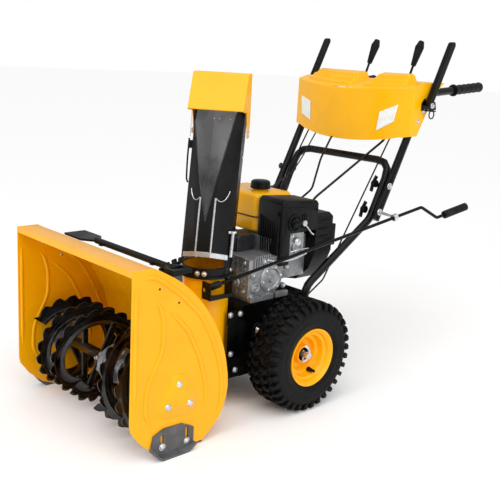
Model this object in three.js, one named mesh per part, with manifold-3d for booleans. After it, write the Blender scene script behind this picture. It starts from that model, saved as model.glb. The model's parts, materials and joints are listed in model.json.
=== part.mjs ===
// Two stage snowblower, 560 mm working width. Millimetres, +Z up, +X the machine's left, front faces -Y.
// While it is built, the wheel axle is at Y = 0 and the ground at Z = 0; the last lines move the origin
// to the middle of the bottom of the whole machine.
import * as THREE from 'three';
import { mergeVertices } from 'three/addons/utils/BufferGeometryUtils.js';
import Module from 'manifold-3d';

const wasm = await Module();
wasm.setup();

// ---- driving dimensions -------------------------------------------------------------------------
const gap = 0.3;                 // clearance between touching pieces
const sheet = 2.5;               // steel sheet of housing and chute
const workWidth = 560;           // between the side plates
const sidePlateThickness = 3;
const housingFront = -611;       // front edge of the auger housing
const housingHeight = 502;
const augerY = -462;
const augerZ = 149;
const augerRadius = 138;
const augerHubRadius = 16;
const ribbonWidth = 48;
const ribbonThickness = 4;
const augerShaftRadius = 10;
const drumRadius = 146;
const drumRear = -158;
const impellerRadius = 137;
const impellerShaftRadius = 9.5;
const outletX = 91;
const outletY = -226;
const outletRadius = 66;
const outletTop = 400;
const ringHeight = 28;
const ringFlangeRadius = 78;
const chuteHalfWidth = 69;
const chuteHeight = 470;
const chuteRestTurn = 38;        // degrees to the machine's left of straight ahead
const chuteLeanBack = 60;
const chuteLeanSide = 16;
const deflectorPivotHeight = 365;
const frameHalfWidth = 172;
const frameSheet = 2.5;
const frameFront = -155;
const frameRear = 110;
const deckHeight = 311;
const wheelRadius = 165;
const wheelWidth = 116;
const frameBottom = wheelRadius - 67;
const wheelX = frameHalfWidth + wheelWidth / 2 + 32;
const rimRadius = 74;
const rimFlangeRadius = 87;
const axleRadius = 10;
const hexShaftY = -88;
const hexShaftZ = 227;
const hexRadius = 8;
const discRear = -126;
const crankX = 12;
const crankHeight = 106;         // crankshaft above the engine's feet
const handleTube = 12.5;         // tube radius
const loopX = frameHalfWidth + 32;
const barX = loopX + 2 * handleTube + 1;
const gripRadius = 17;
const gripLength = 162;
const gripEnd = 852;
const leverLength = 212;
const panelHalfWidth = barX + handleTube + 7.5;
const panelFront = 400;
const panelSkin = 3;
const skidTravelRoom = 26;

const crankZ = deckHeight + gap + crankHeight;
const plateX = workWidth / 2;
const ringBase = outletTop + 0.5;
const ringTop = ringBase + ringHeight;
const housingBack = augerY + 167;

// ---- paints and finishes ------------------------------------------------------------------------
function finish(color, roughness, metalness) {
  return { color, roughness, metalness };
}
const yellow = finish(0xfab400, 0.35, 0.0);
const black = finish(0x141414, 0.4, 0.1);
const darkPlastic = finish(0x26272a, 0.55, 0.0);
const castMetal = finish(0xa4a6a8, 0.5, 0.8);
const zinc = finish(0xc4c6c8, 0.3, 0.9);
const rubber = finish(0x17181a, 0.85, 0.0);
const darkSteel = finish(0x3a3c3f, 0.5, 0.6);

// ---- solids -------------------------------------------------------------------------------------
function solid(geometry) {
  const bare = geometry.clone();
  bare.deleteAttribute('normal');
  bare.deleteAttribute('uv');
  const merged = mergeVertices(bare, 1e-4);
  const vertProperties = new Float32Array(merged.attributes.position.array);
  const triVerts = new Uint32Array(merged.index.array);
  return new wasm.Manifold(new wasm.Mesh({ numProp: 3, vertProperties, triVerts }));
}

function toGeometry(body) {
  const mesh = body.getMesh();
  const geometry = new THREE.BufferGeometry();
  geometry.setAttribute('position', new THREE.BufferAttribute(mesh.vertProperties, 3));
  geometry.setIndex(new THREE.BufferAttribute(mesh.triVerts, 1));
  geometry.computeVertexNormals();
  return geometry;
}

function join(...bodies) {
  return bodies.reduce((whole, body) => whole.add(body));
}

function cut(body, ...tools) {
  return tools.reduce((whole, tool) => whole.subtract(tool), body);
}

function block(x, y, z) {
  const geometry = new THREE.BoxGeometry(x[1] - x[0], y[1] - y[0], z[1] - z[0]);
  geometry.translate((x[0] + x[1]) / 2, (y[0] + y[1]) / 2, (z[0] + z[1]) / 2);
  return solid(geometry);
}

// A cylinder or cone from one point to another.
function round(from, to, radius, sides = 18, endRadius = radius) {
  const start = new THREE.Vector3(...from);
  const way = new THREE.Vector3(...to).sub(start);
  const geometry = new THREE.CylinderGeometry(endRadius, radius, way.length(), sides);
  geometry.translate(0, way.length() / 2, 0);
  geometry.applyQuaternion(new THREE.Quaternion().setFromUnitVectors(new THREE.Vector3(0, 1, 0),
    way.clone().normalize()));
  geometry.translate(start.x, start.y, start.z);
  return solid(geometry);
}

function outline(points) {
  return new THREE.Shape(points.map(([u, v]) => new THREE.Vector2(u, v)));
}

function extruded(shape, depth, bevel = 0) {
  const options = { depth: depth - 2 * bevel, bevelEnabled: bevel > 0, bevelThickness: bevel,
    bevelSize: bevel, bevelOffset: -bevel, bevelSegments: 2, curveSegments: 8 };
  const geometry = new THREE.ExtrudeGeometry(shape, options);
  geometry.translate(0, 0, bevel);
  return geometry;
}

// A plate with an outline in (Y, Z), from x0 to x1.
function plateAlongX(shape, x0, x1, bevel = 0) {
  const geometry = extruded(shape, x1 - x0, bevel);
  geometry.applyMatrix4(new THREE.Matrix4().set(0, 0, 1, x0, 1, 0, 0, 0, 0, 1, 0, 0, 0, 0, 0, 1));
  return solid(geometry);
}

// A plate with an outline in (X, Z), from y0 to y1.
function plateAlongY(shape, y0, y1, bevel = 0) {
  const geometry = extruded(shape, y1 - y0, bevel);
  geometry.applyMatrix4(new THREE.Matrix4().set(1, 0, 0, 0, 0, 0, -1, y1, 0, 1, 0, 0, 0, 0, 0, 1));
  return solid(geometry);
}

// A plate with an outline in (X, Y), from z0 to z1.
function plateAlongZ(shape, z0, z1, bevel = 0) {
  const geometry = extruded(shape, z1 - z0, bevel);
  geometry.translate(0, 0, z0);
  return solid(geometry);
}

// A shape turned about the X or Y axis through a centre: profile points are (along, radius).
function turned(profile, axis, centre, sides = 40) {
  const geometry = new THREE.LatheGeometry(profile.map(([along, r]) => new THREE.Vector2(r, along)), sides);
  const turn = axis === 'x' ? new THREE.Vector3(1, 0, 0) : new THREE.Vector3(0, 1, 0);
  geometry.applyQuaternion(new THREE.Quaternion().setFromUnitVectors(new THREE.Vector3(0, 1, 0), turn));
  geometry.translate(...centre);
  return solid(geometry);
}

// A path of straight runs and round bends, sampled only where it bends.
class BentPath extends THREE.Curve {
  constructor(corners, bendRadius, arcSteps = 3) {
    super();
    const points = corners.map((corner) => new THREE.Vector3(...corner));
    this.points = [points[0]];
    for (let i = 1; i < points.length - 1; i++) {
      const toBack = points[i - 1].clone().sub(points[i]);
      const toNext = points[i + 1].clone().sub(points[i]);
      const room = Math.min(toBack.length(), toNext.length()) * 0.48;
      toBack.normalize();
      toNext.normalize();
      const half = toBack.angleTo(toNext) / 2;
      const reach = Math.min(bendRadius / Math.tan(half), room);
      const start = points[i].clone().addScaledVector(toBack, reach);
      const end = points[i].clone().addScaledVector(toNext, reach);
      const arc = new THREE.QuadraticBezierCurve3(start, points[i], end);
      this.points.push(...arc.getPoints(arcSteps));
    }
    this.points.push(points[points.length - 1]);
  }

  getPoint(t) {
    return this.points[Math.round(t * (this.points.length - 1))].clone();
  }

  getPointAt(t) {
    return this.getPoint(t);
  }

  getTangentAt(t) {
    const last = this.points.length - 1;
    const i = Math.round(t * last);
    const before = this.points[Math.max(i - 1, 0)];
    const here = this.points[i];
    const after = this.points[Math.min(i + 1, last)];
    const arrive = here.clone().sub(before).normalize();
    const leave = after.clone().sub(here).normalize();
    return arrive.add(leave).normalize();
  }
}

function circle(radius, sides) {
  const points = [];
  for (let i = 0; i < sides; i++) {
    const angle = (i / sides) * 2 * Math.PI;
    points.push([radius * Math.cos(angle), radius * Math.sin(angle)]);
  }
  return outline(points);
}

function rod(corners, radius, bendRadius = 0, sides = 10) {
  const path = new BentPath(corners, bendRadius);
  const options = { steps: path.points.length - 1, extrudePath: path, bevelEnabled: false };
  return solid(new THREE.ExtrudeGeometry(circle(radius, sides), options));
}

const machine = new THREE.Group();

function place(name, body, look, parent = machine) {
  const mesh = new THREE.Mesh(toGeometry(body), new THREE.MeshStandardMaterial(look));
  mesh.name = name;
  parent.add(mesh);
  return mesh;
}

function mirrored(body) {
  return body.mirror([1, 0, 0]);
}

// Makes the machine's left piece and its mirror image on the right.
function placePair(name, body, look) {
  place(`${name}_left`, body, look);
  place(`${name}_right`, mirrored(body), look);
}

// ---- auger housing ------------------------------------------------------------------------------
// The rear edge of the housing in (Y, Z), from the back of the top strip round to the scraper bar.
const rearEdge = new THREE.SplineCurve([
  [-547, housingHeight], [-465, 456], [-403, 400], [-355, 335], [-316, 255],
  [housingBack, 150], [-311, 77], [-341, 38], [-378, 8],
].map(([y, z]) => new THREE.Vector2(y, z)));

function rearEdgePoints(inset) {
  const samples = 22;
  const points = [];
  for (let i = 0; i <= samples; i++) {
    const here = rearEdge.getPoint(i / samples);
    const way = rearEdge.getTangent(i / samples);
    points.push([here.x - way.y * -inset, here.y - way.x * inset].map((v) => Math.round(v * 100) / 100));
  }
  return points;
}

const plateOutline = [
  [housingFront, housingHeight],
  ...rearEdgePoints(0),
  [-500, 4], [-537, 19], [-580, 56], [-607, 93], [housingFront, 112],
];
const slotYs = [-514, -435];     // the skid's bolts stand in these places
const plateBody = plateAlongX(outline(plateOutline), plateX, plateX + sidePlateThickness);
placePair('side_plate', plateBody, yellow);

// Follows the same rear edge, inside the plates, with a flat strip and a front lip on top.
function inwardOffset(points, distance) {
  return points.map(([y, z], i) => {
    const [y0, z0] = points[Math.max(i - 1, 0)];
    const [y1, z1] = points[Math.min(i + 1, points.length - 1)];
    const length = Math.hypot(y1 - y0, z1 - z0);
    return [y + (z1 - z0) / length * distance, z - (y1 - y0) / length * distance];
  });
}
const shellOuter = inwardOffset(rearEdgePoints(0), 1);
const shellInner = inwardOffset(rearEdgePoints(0), 1 + sheet);
const shellTop = housingHeight - 1;
const lipDrop = 16;
const shellShape = outline([
  [housingFront + 1, shellTop], [-547, shellTop], ...shellOuter.slice(1),
  ...shellInner.slice(1).reverse(), [-548, shellTop - sheet], [housingFront + 1 + sheet, shellTop - sheet],
  [housingFront + 1 + sheet, shellTop - lipDrop], [housingFront + 1, shellTop - lipDrop],
]);
const drumMouth = round([0, augerY, augerZ], [0, -200, augerZ], drumRadius - sheet, 36);
const shell = plateAlongX(shellShape, -plateX + gap, plateX - gap);
place('housing_shell', cut(shell, drumMouth), yellow);

const scraperBody = plateAlongX(outline([[-440, 2], [-375, 2], [-375, 5], [-440, 5]]),
  -plateX + gap, plateX - gap);
place('scraper_bar', scraperBody, darkSteel);

// ---- impeller drum with its outlet --------------------------------------------------------------
const housingSpace = plateAlongX(outline(plateOutline), -plateX, plateX);
const drumOuter = round([0, -372, augerZ], [0, drumRear, augerZ], drumRadius, 36);
const drumInner = round([0, -420, augerZ], [0, drumRear - 3, augerZ], drumRadius - sheet, 36);
const outletOuter = round([outletX, outletY, augerZ], [outletX, outletY, outletTop], outletRadius, 24);
const outletInner = round([outletX, outletY, augerZ + 3], [outletX, outletY, outletTop + 5],
  outletRadius - sheet, 24);
const drumShaftHole = round([0, -200, augerZ], [0, -150, augerZ], impellerShaftRadius + 2, 16);
const drum = cut(join(drumOuter, outletOuter), drumInner, outletInner, housingSpace, drumShaftHole);
place('impeller_drum', drum, yellow);

// ---- skid shoes ---------------------------------------------------------------------------------
const skidInner = plateX + sidePlateThickness + gap;
const skidPlate = plateAlongX(outline([
  [-550, 26], [-541, 66], [-508, 79], [-450, 77], [-412, 58], [-412, 20], [-438, 1], [-521, 1], [-535, 12],
]), skidInner, skidInner + 5);
const skidFoot = plateAlongX(outline([
  [-552, 31], [-535, 10], [-521, 0], [-438, 0], [-414, 16], [-416, 22], [-439, 6], [-520, 6], [-532, 15],
  [-547, 34],
]), skidInner, skidInner + 22);
const skidSlots = slotYs.map((y) => block([skidInner - 1, skidInner + 7], [y - 4.5, y + 4.5],
  [24, 35 + skidTravelRoom + 2]));
placePair('skid', cut(join(skidPlate, skidFoot), ...skidSlots), darkSteel);

// ---- augers -------------------------------------------------------------------------------------
// A helix about the auger axis whose section stays square to the axis.
class Flight extends THREE.Curve {
  constructor(from, to, startTurn, turns) {
    super();
    Object.assign(this, { from, to, startTurn, turns });
  }

  angle(t) {
    return (this.startTurn + this.turns * t) * 2 * Math.PI;
  }

  getPoint(t) {
    const radius = augerRadius - ribbonWidth / 2;
    const angle = this.angle(t);
    return new THREE.Vector3(this.from + (this.to - this.from) * t,
      augerY + radius * Math.cos(angle), augerZ + radius * Math.sin(angle));
  }

  getPointAt(t) {
    return this.getPoint(t);
  }

  computeFrenetFrames(steps) {
    const frames = { tangents: [], normals: [], binormals: [] };
    for (let i = 0; i <= steps; i++) {
      const angle = this.angle(i / steps);
      const outward = new THREE.Vector3(0, Math.cos(angle), Math.sin(angle));
      const around = new THREE.Vector3(0, -Math.sin(angle), Math.cos(angle));
      const turnSense = Math.sign(this.turns);
      frames.tangents.push(around.clone().multiplyScalar(turnSense));
      frames.normals.push(outward);
      frames.binormals.push(new THREE.Vector3().crossVectors(around.multiplyScalar(turnSense), outward));
    }
    return frames;
  }
}

const flightStart = 62;
const flightEnd = 262;
const flightTurns = 1.3;
const flightSteps = 33;
const ribbonShape = outline([[-ribbonWidth / 2, -ribbonThickness / 2], [ribbonWidth / 2, -ribbonThickness / 2],
  [ribbonWidth / 2, ribbonThickness / 2], [-ribbonWidth / 2, ribbonThickness / 2]]);

function flight(startTurn) {
  const path = new Flight(flightStart, flightEnd, startTurn, flightTurns);
  const options = { steps: flightSteps, extrudePath: path, bevelEnabled: false };
  return solid(new THREE.ExtrudeGeometry(ribbonShape, options));
}

function spoke(share, startTurn) {
  const x = flightStart + (flightEnd - flightStart) * share;
  const angle = (startTurn + flightTurns * share) * 2 * Math.PI;
  const reach = augerRadius - ribbonWidth + 6;
  return round([x, augerY + 12 * Math.cos(angle), augerZ + 12 * Math.sin(angle)],
    [x, augerY + reach * Math.cos(angle), augerZ + reach * Math.sin(angle)], 7, 8);
}

const augerParts = [round([52, augerY, augerZ], [266, augerY, augerZ], augerHubRadius)];
for (const startTurn of [0.1, 0.6]) {
  augerParts.push(flight(startTurn));
  for (const share of [0.06, 0.5, 0.94]) {
    augerParts.push(spoke(share, startTurn));
  }
}
const augerBore = round([40, augerY, augerZ], [280, augerY, augerZ], augerShaftRadius + gap);
placePair('auger', cut(join(...augerParts), augerBore), black);

const shaftEnd = plateX - gap - 1;
place('auger_shaft', round([-shaftEnd, augerY, augerZ], [shaftEnd, augerY, augerZ], augerShaftRadius), zinc);

const bearingSeat = round([plateX - gap - 11, augerY, augerZ], [plateX - gap, augerY, augerZ], 44, 24);
const bearingHole = round([plateX - 20, augerY, augerZ], [plateX + 20, augerY, augerZ],
  augerShaftRadius + gap);
placePair('auger_bearing', cut(bearingSeat, bearingHole), castMetal);

const gearboxNose = -330;
const gearboxDrum = turned([[-27, 0], [-27, 40], [-20, 50], [20, 50], [27, 40], [27, 0]], 'x',
  [0, augerY, augerZ], 20);
const gearboxNeck = round([0, augerY + 20, augerZ], [0, gearboxNose, augerZ], 32, 18, 26);
const gearboxEnds = round([-48, augerY, augerZ], [48, augerY, augerZ], 24);
const gearboxBore = round([-60, augerY, augerZ], [60, augerY, augerZ], augerShaftRadius + gap);
const impellerBore = round([0, augerY + 24, augerZ], [0, gearboxNose + 9, augerZ], impellerShaftRadius + gap);
place('auger_gearbox', cut(join(gearboxDrum, gearboxNeck, gearboxEnds), gearboxBore, impellerBore), castMetal);

// ---- impeller and its drive ---------------------------------------------------------------------
const pulleyFront = -150;
const pulleyRear = -138;
const impellerPulleyRadius = 44;
const impellerHub = round([0, -290, augerZ], [0, -170, augerZ], 24);
const blades = [];
for (let i = 0; i < 4; i++) {
  const blade = block([18, impellerRadius], [-286, -174], [-1.5, 1.5]);
  blades.push(blade.rotate([0, i * 90, 0]).translate([0, 0, augerZ]));
}
const impellerHubBore = round([0, -300, augerZ], [0, -160, augerZ], impellerShaftRadius + gap);
place('impeller', cut(join(impellerHub, ...blades), impellerHubBore), black);
place('impeller_shaft', round([0, augerY + 26, augerZ], [0, pulleyRear + 4, augerZ], impellerShaftRadius), zinc);

// A V-belt pulley from y0 to y1 with its groove between two flanges.
function pulley(x, z, radius, y0, y1, boreRadius) {
  const profile = [[y0, 0], [y0, radius], [y0 + 1.5, radius], [(y0 + y1) / 2 - 2, radius - 9],
    [(y0 + y1) / 2 + 2, radius - 9], [y1 - 1.5, radius], [y1, radius], [y1, 0]];
  const wheel = turned(profile, 'y', [x, 0, z], 20);
  if (boreRadius === 0) {
    return wheel;
  }
  return cut(wheel, round([x, y0 - 5, z], [x, y1 + 5, z], boreRadius, 16));
}

place('impeller_pulley', pulley(0, augerZ, impellerPulleyRadius, pulleyFront, pulleyRear,
  impellerShaftRadius + gap), darkSteel);

const tractionFront = -137;
const tractionRear = -128;
const discRadius = 80;
const discPulleyRadius = 52;
const discPlate = round([0, tractionRear - 1, hexShaftZ], [0, discRear, hexShaftZ], discRadius, 30);
place('drive_disc', join(pulley(0, hexShaftZ, discPulleyRadius, tractionFront, tractionRear, 0),
  discPlate, round([0, frameFront + frameSheet + gap, hexShaftZ], [0, tractionFront + 1, hexShaftZ], 8, 16)),
darkSteel);

const crankPulleyRadius = 30;
const tractionPulleyRadius = 26;
const crankStub = round([crankX, frameFront + 3, crankZ], [crankX, -124.5, crankZ], 10, 16);
place('crank_pulley', join(pulley(crankX, crankZ, crankPulleyRadius, pulleyFront, pulleyRear, 0),
  pulley(crankX, crankZ, tractionPulleyRadius, tractionFront - 1.5, tractionRear, 0), crankStub), darkSteel);

// A belt that runs round two pulleys, as a flat band between y0 and y1.
function belt(x0, z0, r0, x1, z1, r1, y0, y1, thickness) {
  const length = Math.hypot(x1 - x0, z1 - z0);
  const heading = Math.atan2(z1 - z0, x1 - x0);
  const wrap = Math.acos((r0 - r1) / length);
  const band = (grow) => {
    const points = [];
    const steps = 10;
    for (let i = 0; i <= steps; i++) {
      const angle = heading + wrap + (2 * Math.PI - 2 * wrap) * (i / steps);
      points.push([x0 + (r0 + grow) * Math.cos(angle), z0 + (r0 + grow) * Math.sin(angle)]);
    }
    for (let i = 0; i <= steps; i++) {
      const angle = heading - wrap + 2 * wrap * (i / steps);
      points.push([x1 + (r1 + grow) * Math.cos(angle), z1 + (r1 + grow) * Math.sin(angle)]);
    }
    return outline(points);
  };
  return cut(plateAlongY(band(thickness), y0, y1), plateAlongY(band(0), y0 - 1, y1 + 1));
}

const beltLift = 1.2;            // the belt's inner face clears the pulley's flanges
place('auger_belt', belt(0, augerZ, impellerPulleyRadius + beltLift, crankX, crankZ,
  crankPulleyRadius + beltLift, pulleyFront + 2, pulleyRear - 2, 5), rubber);
place('traction_belt', belt(0, hexShaftZ, discPulleyRadius + beltLift, crankX, crankZ,
  tractionPulleyRadius + beltLift, tractionFront + 1, tractionRear - 2, 5), rubber);

// ---- tractor frame and wheel drive --------------------------------------------------------------
const inside = frameHalfWidth - frameSheet;
const frameBox = block([-frameHalfWidth, frameHalfWidth], [frameFront, frameRear], [frameBottom, deckHeight]);
const frameHollow = block([-inside, inside], [frameFront + frameSheet, frameRear - frameSheet],
  [frameBottom - 5, deckHeight - frameSheet]);
const wings = [-1, 1].map((side) => {
  const xs = [side * frameHalfWidth, side * inside].sort((a, b) => a - b);
  return block(xs, [-205, frameFront + 5], [frameBottom, 300]);
});
const frameHoles = [
  round([-frameHalfWidth - 10, 0, wheelRadius], [frameHalfWidth + 10, 0, wheelRadius], axleRadius + 1, 20),
  round([-frameHalfWidth - 10, hexShaftY, hexShaftZ], [frameHalfWidth + 10, hexShaftY, hexShaftZ],
    hexRadius + 2, 16),
  round([0, -160, augerZ], [0, -150, augerZ], impellerShaftRadius + 2, 16),
];
const frameBody = cut(join(frameBox, ...wings), frameHollow, ...frameHoles);
const slotTop = block([-54, 62], [frameFront + frameSheet + gap, -125.5], [deckHeight - 10, deckHeight + 10]);
place('tractor_frame', cut(frameBody, slotTop), black);
place('bottom_cover', block([-frameHalfWidth, frameHalfWidth], [frameFront, frameRear],
  [frameBottom - gap - 2, frameBottom - gap]), black);

const axleEnd = wheelX + 40;
const sprocketX = 120;
const axleSprocket = round([sprocketX, 0, wheelRadius], [sprocketX + 5, 0, wheelRadius], 52, 32);
place('wheel_axle', join(round([-axleEnd, 0, wheelRadius], [axleEnd, 0, wheelRadius], axleRadius),
  axleSprocket), zinc);

const hexBar = round([-inside + 1, hexShaftY, hexShaftZ], [frameHalfWidth + 4, hexShaftY, hexShaftZ], hexRadius, 6);
const hexCap = round([frameHalfWidth + 1, hexShaftY, hexShaftZ], [frameHalfWidth + 14, hexShaftY, hexShaftZ], 15, 20, 9);
const hexSprocket = round([sprocketX, hexShaftY, hexShaftZ], [sprocketX + 5, hexShaftY, hexShaftZ], 20, 20);
place('hex_shaft', join(hexBar, hexCap, hexSprocket), zinc);

const frictionRadius = hexShaftY - discRear - 0.4;
const frictionWheel = round([-7, hexShaftY, hexShaftZ], [7, hexShaftY, hexShaftZ], frictionRadius, 32);
place('friction_wheel', cut(frictionWheel, round([-12, hexShaftY, hexShaftZ], [12, hexShaftY, hexShaftZ],
  hexRadius + gap, 6)), rubber);

// ---- wheels -------------------------------------------------------------------------------------
const wheelSides = 24;
const half = wheelWidth / 2;
const rimHalf = half - 3;
const rimProfile = [
  [-rimHalf, rimFlangeRadius], [-rimHalf + 4, rimFlangeRadius], [-rimHalf + 5, rimRadius],
  [rimHalf - 5, rimRadius], [rimHalf - 4, rimFlangeRadius], [rimHalf, rimFlangeRadius],
  [rimHalf, rimRadius - 2], [4, 52], [-2, 24], [rimHalf - 28, 22],
  [rimHalf - 28, axleRadius + gap], [-rimHalf + 2, axleRadius + gap], [-rimHalf + 2, 22], [-10, 24],
  [-4, 56], [-rimHalf, rimRadius - 2],
];
const rimClosed = [...rimProfile, rimProfile[0]];
placePair('rim', turned(rimClosed, 'x', [wheelX, 0, wheelRadius], wheelSides), yellow);

const bead = rimHalf - 5 - gap;
const tyreProfile = [
  [-bead, rimRadius + gap], [-bead, rimFlangeRadius + 2], [-half, rimFlangeRadius + 20],
  [-half, wheelRadius - 30], [-half + 8, wheelRadius - 10], [-half + 22, wheelRadius],
  [half - 22, wheelRadius], [half - 8, wheelRadius - 10], [half, wheelRadius - 30],
  [half, rimFlangeRadius + 20], [bead, rimFlangeRadius + 2], [bead, rimRadius + gap],
];
placePair('tyre', turned([...tyreProfile, tyreProfile[0]], 'x', [wheelX, 0, wheelRadius], wheelSides), rubber);

// ---- engine -------------------------------------------------------------------------------------
const feet = deckHeight + gap;
const crankcase = join(
  block([-10, 170], [-121, -31], [feet, feet + 12]),
  block([5, 160], [-124, -13], [feet + 10, 436]),
  block([-25, 125], [-10, 142], [350, 480]),
  block([-60, 20], [-110, 60], [380, 436]),
  round([crankX, -90, crankZ], [crankX, -124, crankZ], 36, 20),
);
place('engine_crankcase', crankcase, castMetal);

const heaterX = [66, 172];
const heater = plateAlongX(outline([[-12, 405], [-12, 592], [-2, 602], [134, 592], [142, 582], [142, 500],
  [28, 500], [28, 405]]), heaterX[0], heaterX[1], 5);
const heaterRoom = block([60, 126], [-30, 150], [390, 482]);
const chokeSeat = [heaterX[1] + gap, 38, 532];
place('heater_box', cut(heater, heaterRoom), darkPlastic);
place('carburettor', join(block([127, 160], [32, 96], [424, 498]), round([160, 60, 455], [168, 60, 455], 18)),
  zinc);
place('muffler', plateAlongX(outline([[-86, 437], [-86, 478], [-80, 484], [-16, 484], [-16, 437]]), -60, 64),
  black);

const tank = plateAlongZ(outline([[-150, 12], [-140, -12], [46, -12], [58, 0], [58, 132], [48, 142],
  [-140, 142], [-150, 130]]), 486, 600, 10);
const capX = -6;
const capY = 62;
place('fuel_tank', join(tank, round([capX, capY, 590], [capX, capY, 606], 24)), yellow);
place('fuel_cap', turned([[607, 0], [607, 32], [628, 30], [632, 24], [632, 0]], 'y', [0, 0, 0], 24)
  .rotate([90, 0, 0]).translate([capX, capY, 0]), black);

const recoilY = [143, 226];
const recoilRound = turned([[recoilY[0], 0], [recoilY[0], 104], [recoilY[1] - 18, 100], [recoilY[1], 80],
  [recoilY[1], 0]], 'y', [crankX, 0, crankZ], 28);
const shroud = plateAlongY(outline([[crankX, crankZ - 104], [crankX + 80, crankZ - 90], [crankX + 130, crankZ - 45],
  [crankX + 152, crankZ + 10], [crankX + 152, crankZ + 118], [crankX + 136, crankZ + 128],
  [crankX - 70, crankZ + 128], [crankX - 90, crankZ + 40]]), recoilY[0], recoilY[1] - 8);
const ropeX = crankX + 118;
const ropeZ = crankZ + 50;
const ropeHole = round([ropeX, recoilY[0] - 5, ropeZ], [ropeX, recoilY[1] + 5, ropeZ], 5, 12);
place('recoil_cover', cut(join(recoilRound, shroud), ropeHole), darkPlastic);
const handleBack = recoilY[1] + 24;
place('recoil_handle', join(
  round([ropeX, recoilY[0] + 2, ropeZ], [ropeX, handleBack, ropeZ], 3, 8),
  block([ropeX - 8, ropeX + 8], [handleBack - 6, handleBack + 14], [ropeZ - 34, ropeZ + 34]),
), darkPlastic);

place('choke_knob', join(round(chokeSeat, [chokeSeat[0] + 9, chokeSeat[1], chokeSeat[2]], 17, 20, 15),
  block([chokeSeat[0] + 4, chokeSeat[0] + 16], [chokeSeat[1] - 13, chokeSeat[1] + 13],
    [chokeSeat[2] - 4, chokeSeat[2] + 4])), darkPlastic);
const throttlePivot = [heaterX[1] + gap, 78, 528];
const throttle = join(round(throttlePivot, [throttlePivot[0] + 6, throttlePivot[1], throttlePivot[2]], 9, 16),
  rod([[throttlePivot[0] + 3, throttlePivot[1], throttlePivot[2]], [throttlePivot[0] + 3, 112, 494],
    [throttlePivot[0] + 9, 116, 490]], 2.8, 4, 8));
place('throttle_lever', throttle, zinc);

const coverFront = frameFront - 2;
function coverOutline(inset, low) {
  return outline([[-52 + inset, low], [57 - inset, low], [53 - inset, 442], [43 - inset, 464 - inset],
    [-26 + inset, 464 - inset]]);
}
const beltCover = cut(
  plateAlongY(coverOutline(0, deckHeight + gap), coverFront, -125),
  plateAlongY(coverOutline(2, deckHeight - 5), coverFront + 2, -100),
);
place('belt_cover', beltCover, black);

// ---- handles ------------------------------------------------------------------------------------
const footX = frameHalfWidth + handleTube + gap;
const loopHalf = [[footX, 84, 200], [footX, 92, 332], [loopX - 4, 352, 520], [loopX, 432, 698]];
const loopRightHalf = [...loopHalf].reverse().map(([x, y, z]) => [-x, y, z]);
place('handle_loop', rod([...loopHalf, ...loopRightHalf], handleTube, 55), black);

const barFoot = [barX, 342, 522];
const barBend = [barX, 536, 914];
const barEnd = [barX, gripEnd - 4, 939];
const bar = rod([barFoot, barBend, barEnd], handleTube, 60);
const leverX = barX + 32;
const leverPivot = [leverX, 518, 888];
const leverBoss = round([barX, leverPivot[1], leverPivot[2]], [leverX - 8 - gap, leverPivot[1], leverPivot[2]],
  7, 12);
placePair('handlebar', join(bar, leverBoss), black);

const gripWay = new THREE.Vector3(...barEnd).sub(new THREE.Vector3(...barBend)).normalize();
const gripTip = new THREE.Vector3(...barEnd).addScaledVector(gripWay, 4);
const gripRoot = gripTip.clone().addScaledVector(gripWay, -gripLength);
const gripBore = round(gripRoot.clone().addScaledVector(gripWay, -5).toArray(),
  new THREE.Vector3(...barEnd).addScaledVector(gripWay, gap).toArray(), handleTube + gap, 20);
placePair('grip', cut(round(gripRoot.toArray(), gripTip.toArray(), gripRadius, 20), gripBore), rubber);

const leverTilt = THREE.MathUtils.degToRad(64);
const leverTop = [leverX, leverPivot[1] + leverLength * Math.cos(leverTilt),
  leverPivot[2] + leverLength * Math.sin(leverTilt)];
const leverBar = plateAlongX(outline([[-6, -9], [leverLength - 9, -9], [leverLength - 2, -6],
  [leverLength, 0], [leverLength - 2, 6], [leverLength - 9, 9], [-6, 9], [-14, 0]]), -8, 8)
  .rotate([64, 0, 0]).translate(leverPivot);
placePair('clutch_lever', leverBar, black);

// The hood is open behind and below; its front is an arc in plan.
const panelSide = [[398, 740], [398, 916], [412, 924], [500, 948], [612, 950], [585, 930], [531, 858],
  [489, 782], [440, 776]];
const innerSide = [[398 - 20, 700], [398 - 20, 921 - panelSkin], [412, 924 - panelSkin],
  [500, 948 - panelSkin], [640, 951 - panelSkin], [640, 700]];
function frontArc(halfWidth, front) {
  const bulge = 55;
  const points = [];
  const steps = 12;
  for (let i = 0; i <= steps; i++) {
    const x = -halfWidth + (2 * halfWidth * i) / steps;
    points.push([x, front + bulge * (x / panelHalfWidth) ** 2]);
  }
  points.push([halfWidth, 640], [-halfWidth, 640]);
  return outline(points);
}
const bottomArc = [];
for (let i = 0; i <= 12; i++) {
  const x = -panelHalfWidth - 10 + (2 * (panelHalfWidth + 10) * i) / 12;
  bottomArc.push([x, 752 + 30 * (x / panelHalfWidth) ** 2]);
}
const belowPanel = plateAlongY(outline([[-panelHalfWidth - 10, 690], ...bottomArc, [panelHalfWidth + 10, 690]].reverse()), 300, 660);
const panelOuter = plateAlongX(outline(panelSide), -panelHalfWidth, panelHalfWidth)
  .intersect(plateAlongZ(frontArc(panelHalfWidth, panelFront), 700, 1000));
const panelInner = plateAlongX(outline(innerSide), -panelHalfWidth + panelSkin, panelHalfWidth - panelSkin)
  .intersect(plateAlongZ(frontArc(panelHalfWidth - panelSkin, panelFront + panelSkin), 690, 1010));
const speedLeverX = 135;
const tiltLeverX = -50;
const shiftPivotY = 535;
const shiftPivotZ = 868;
const leverSlots = [speedLeverX, tiltLeverX].map((x) => block([x - 6, x + 6], [528, 630], [925, 960]));
const leverClearance = [-1, 1].map((side) => round([side * (barX - 5), leverPivot[1], leverPivot[2]],
  [side * leverX, leverPivot[1], leverPivot[2]], 14, 16));
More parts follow.
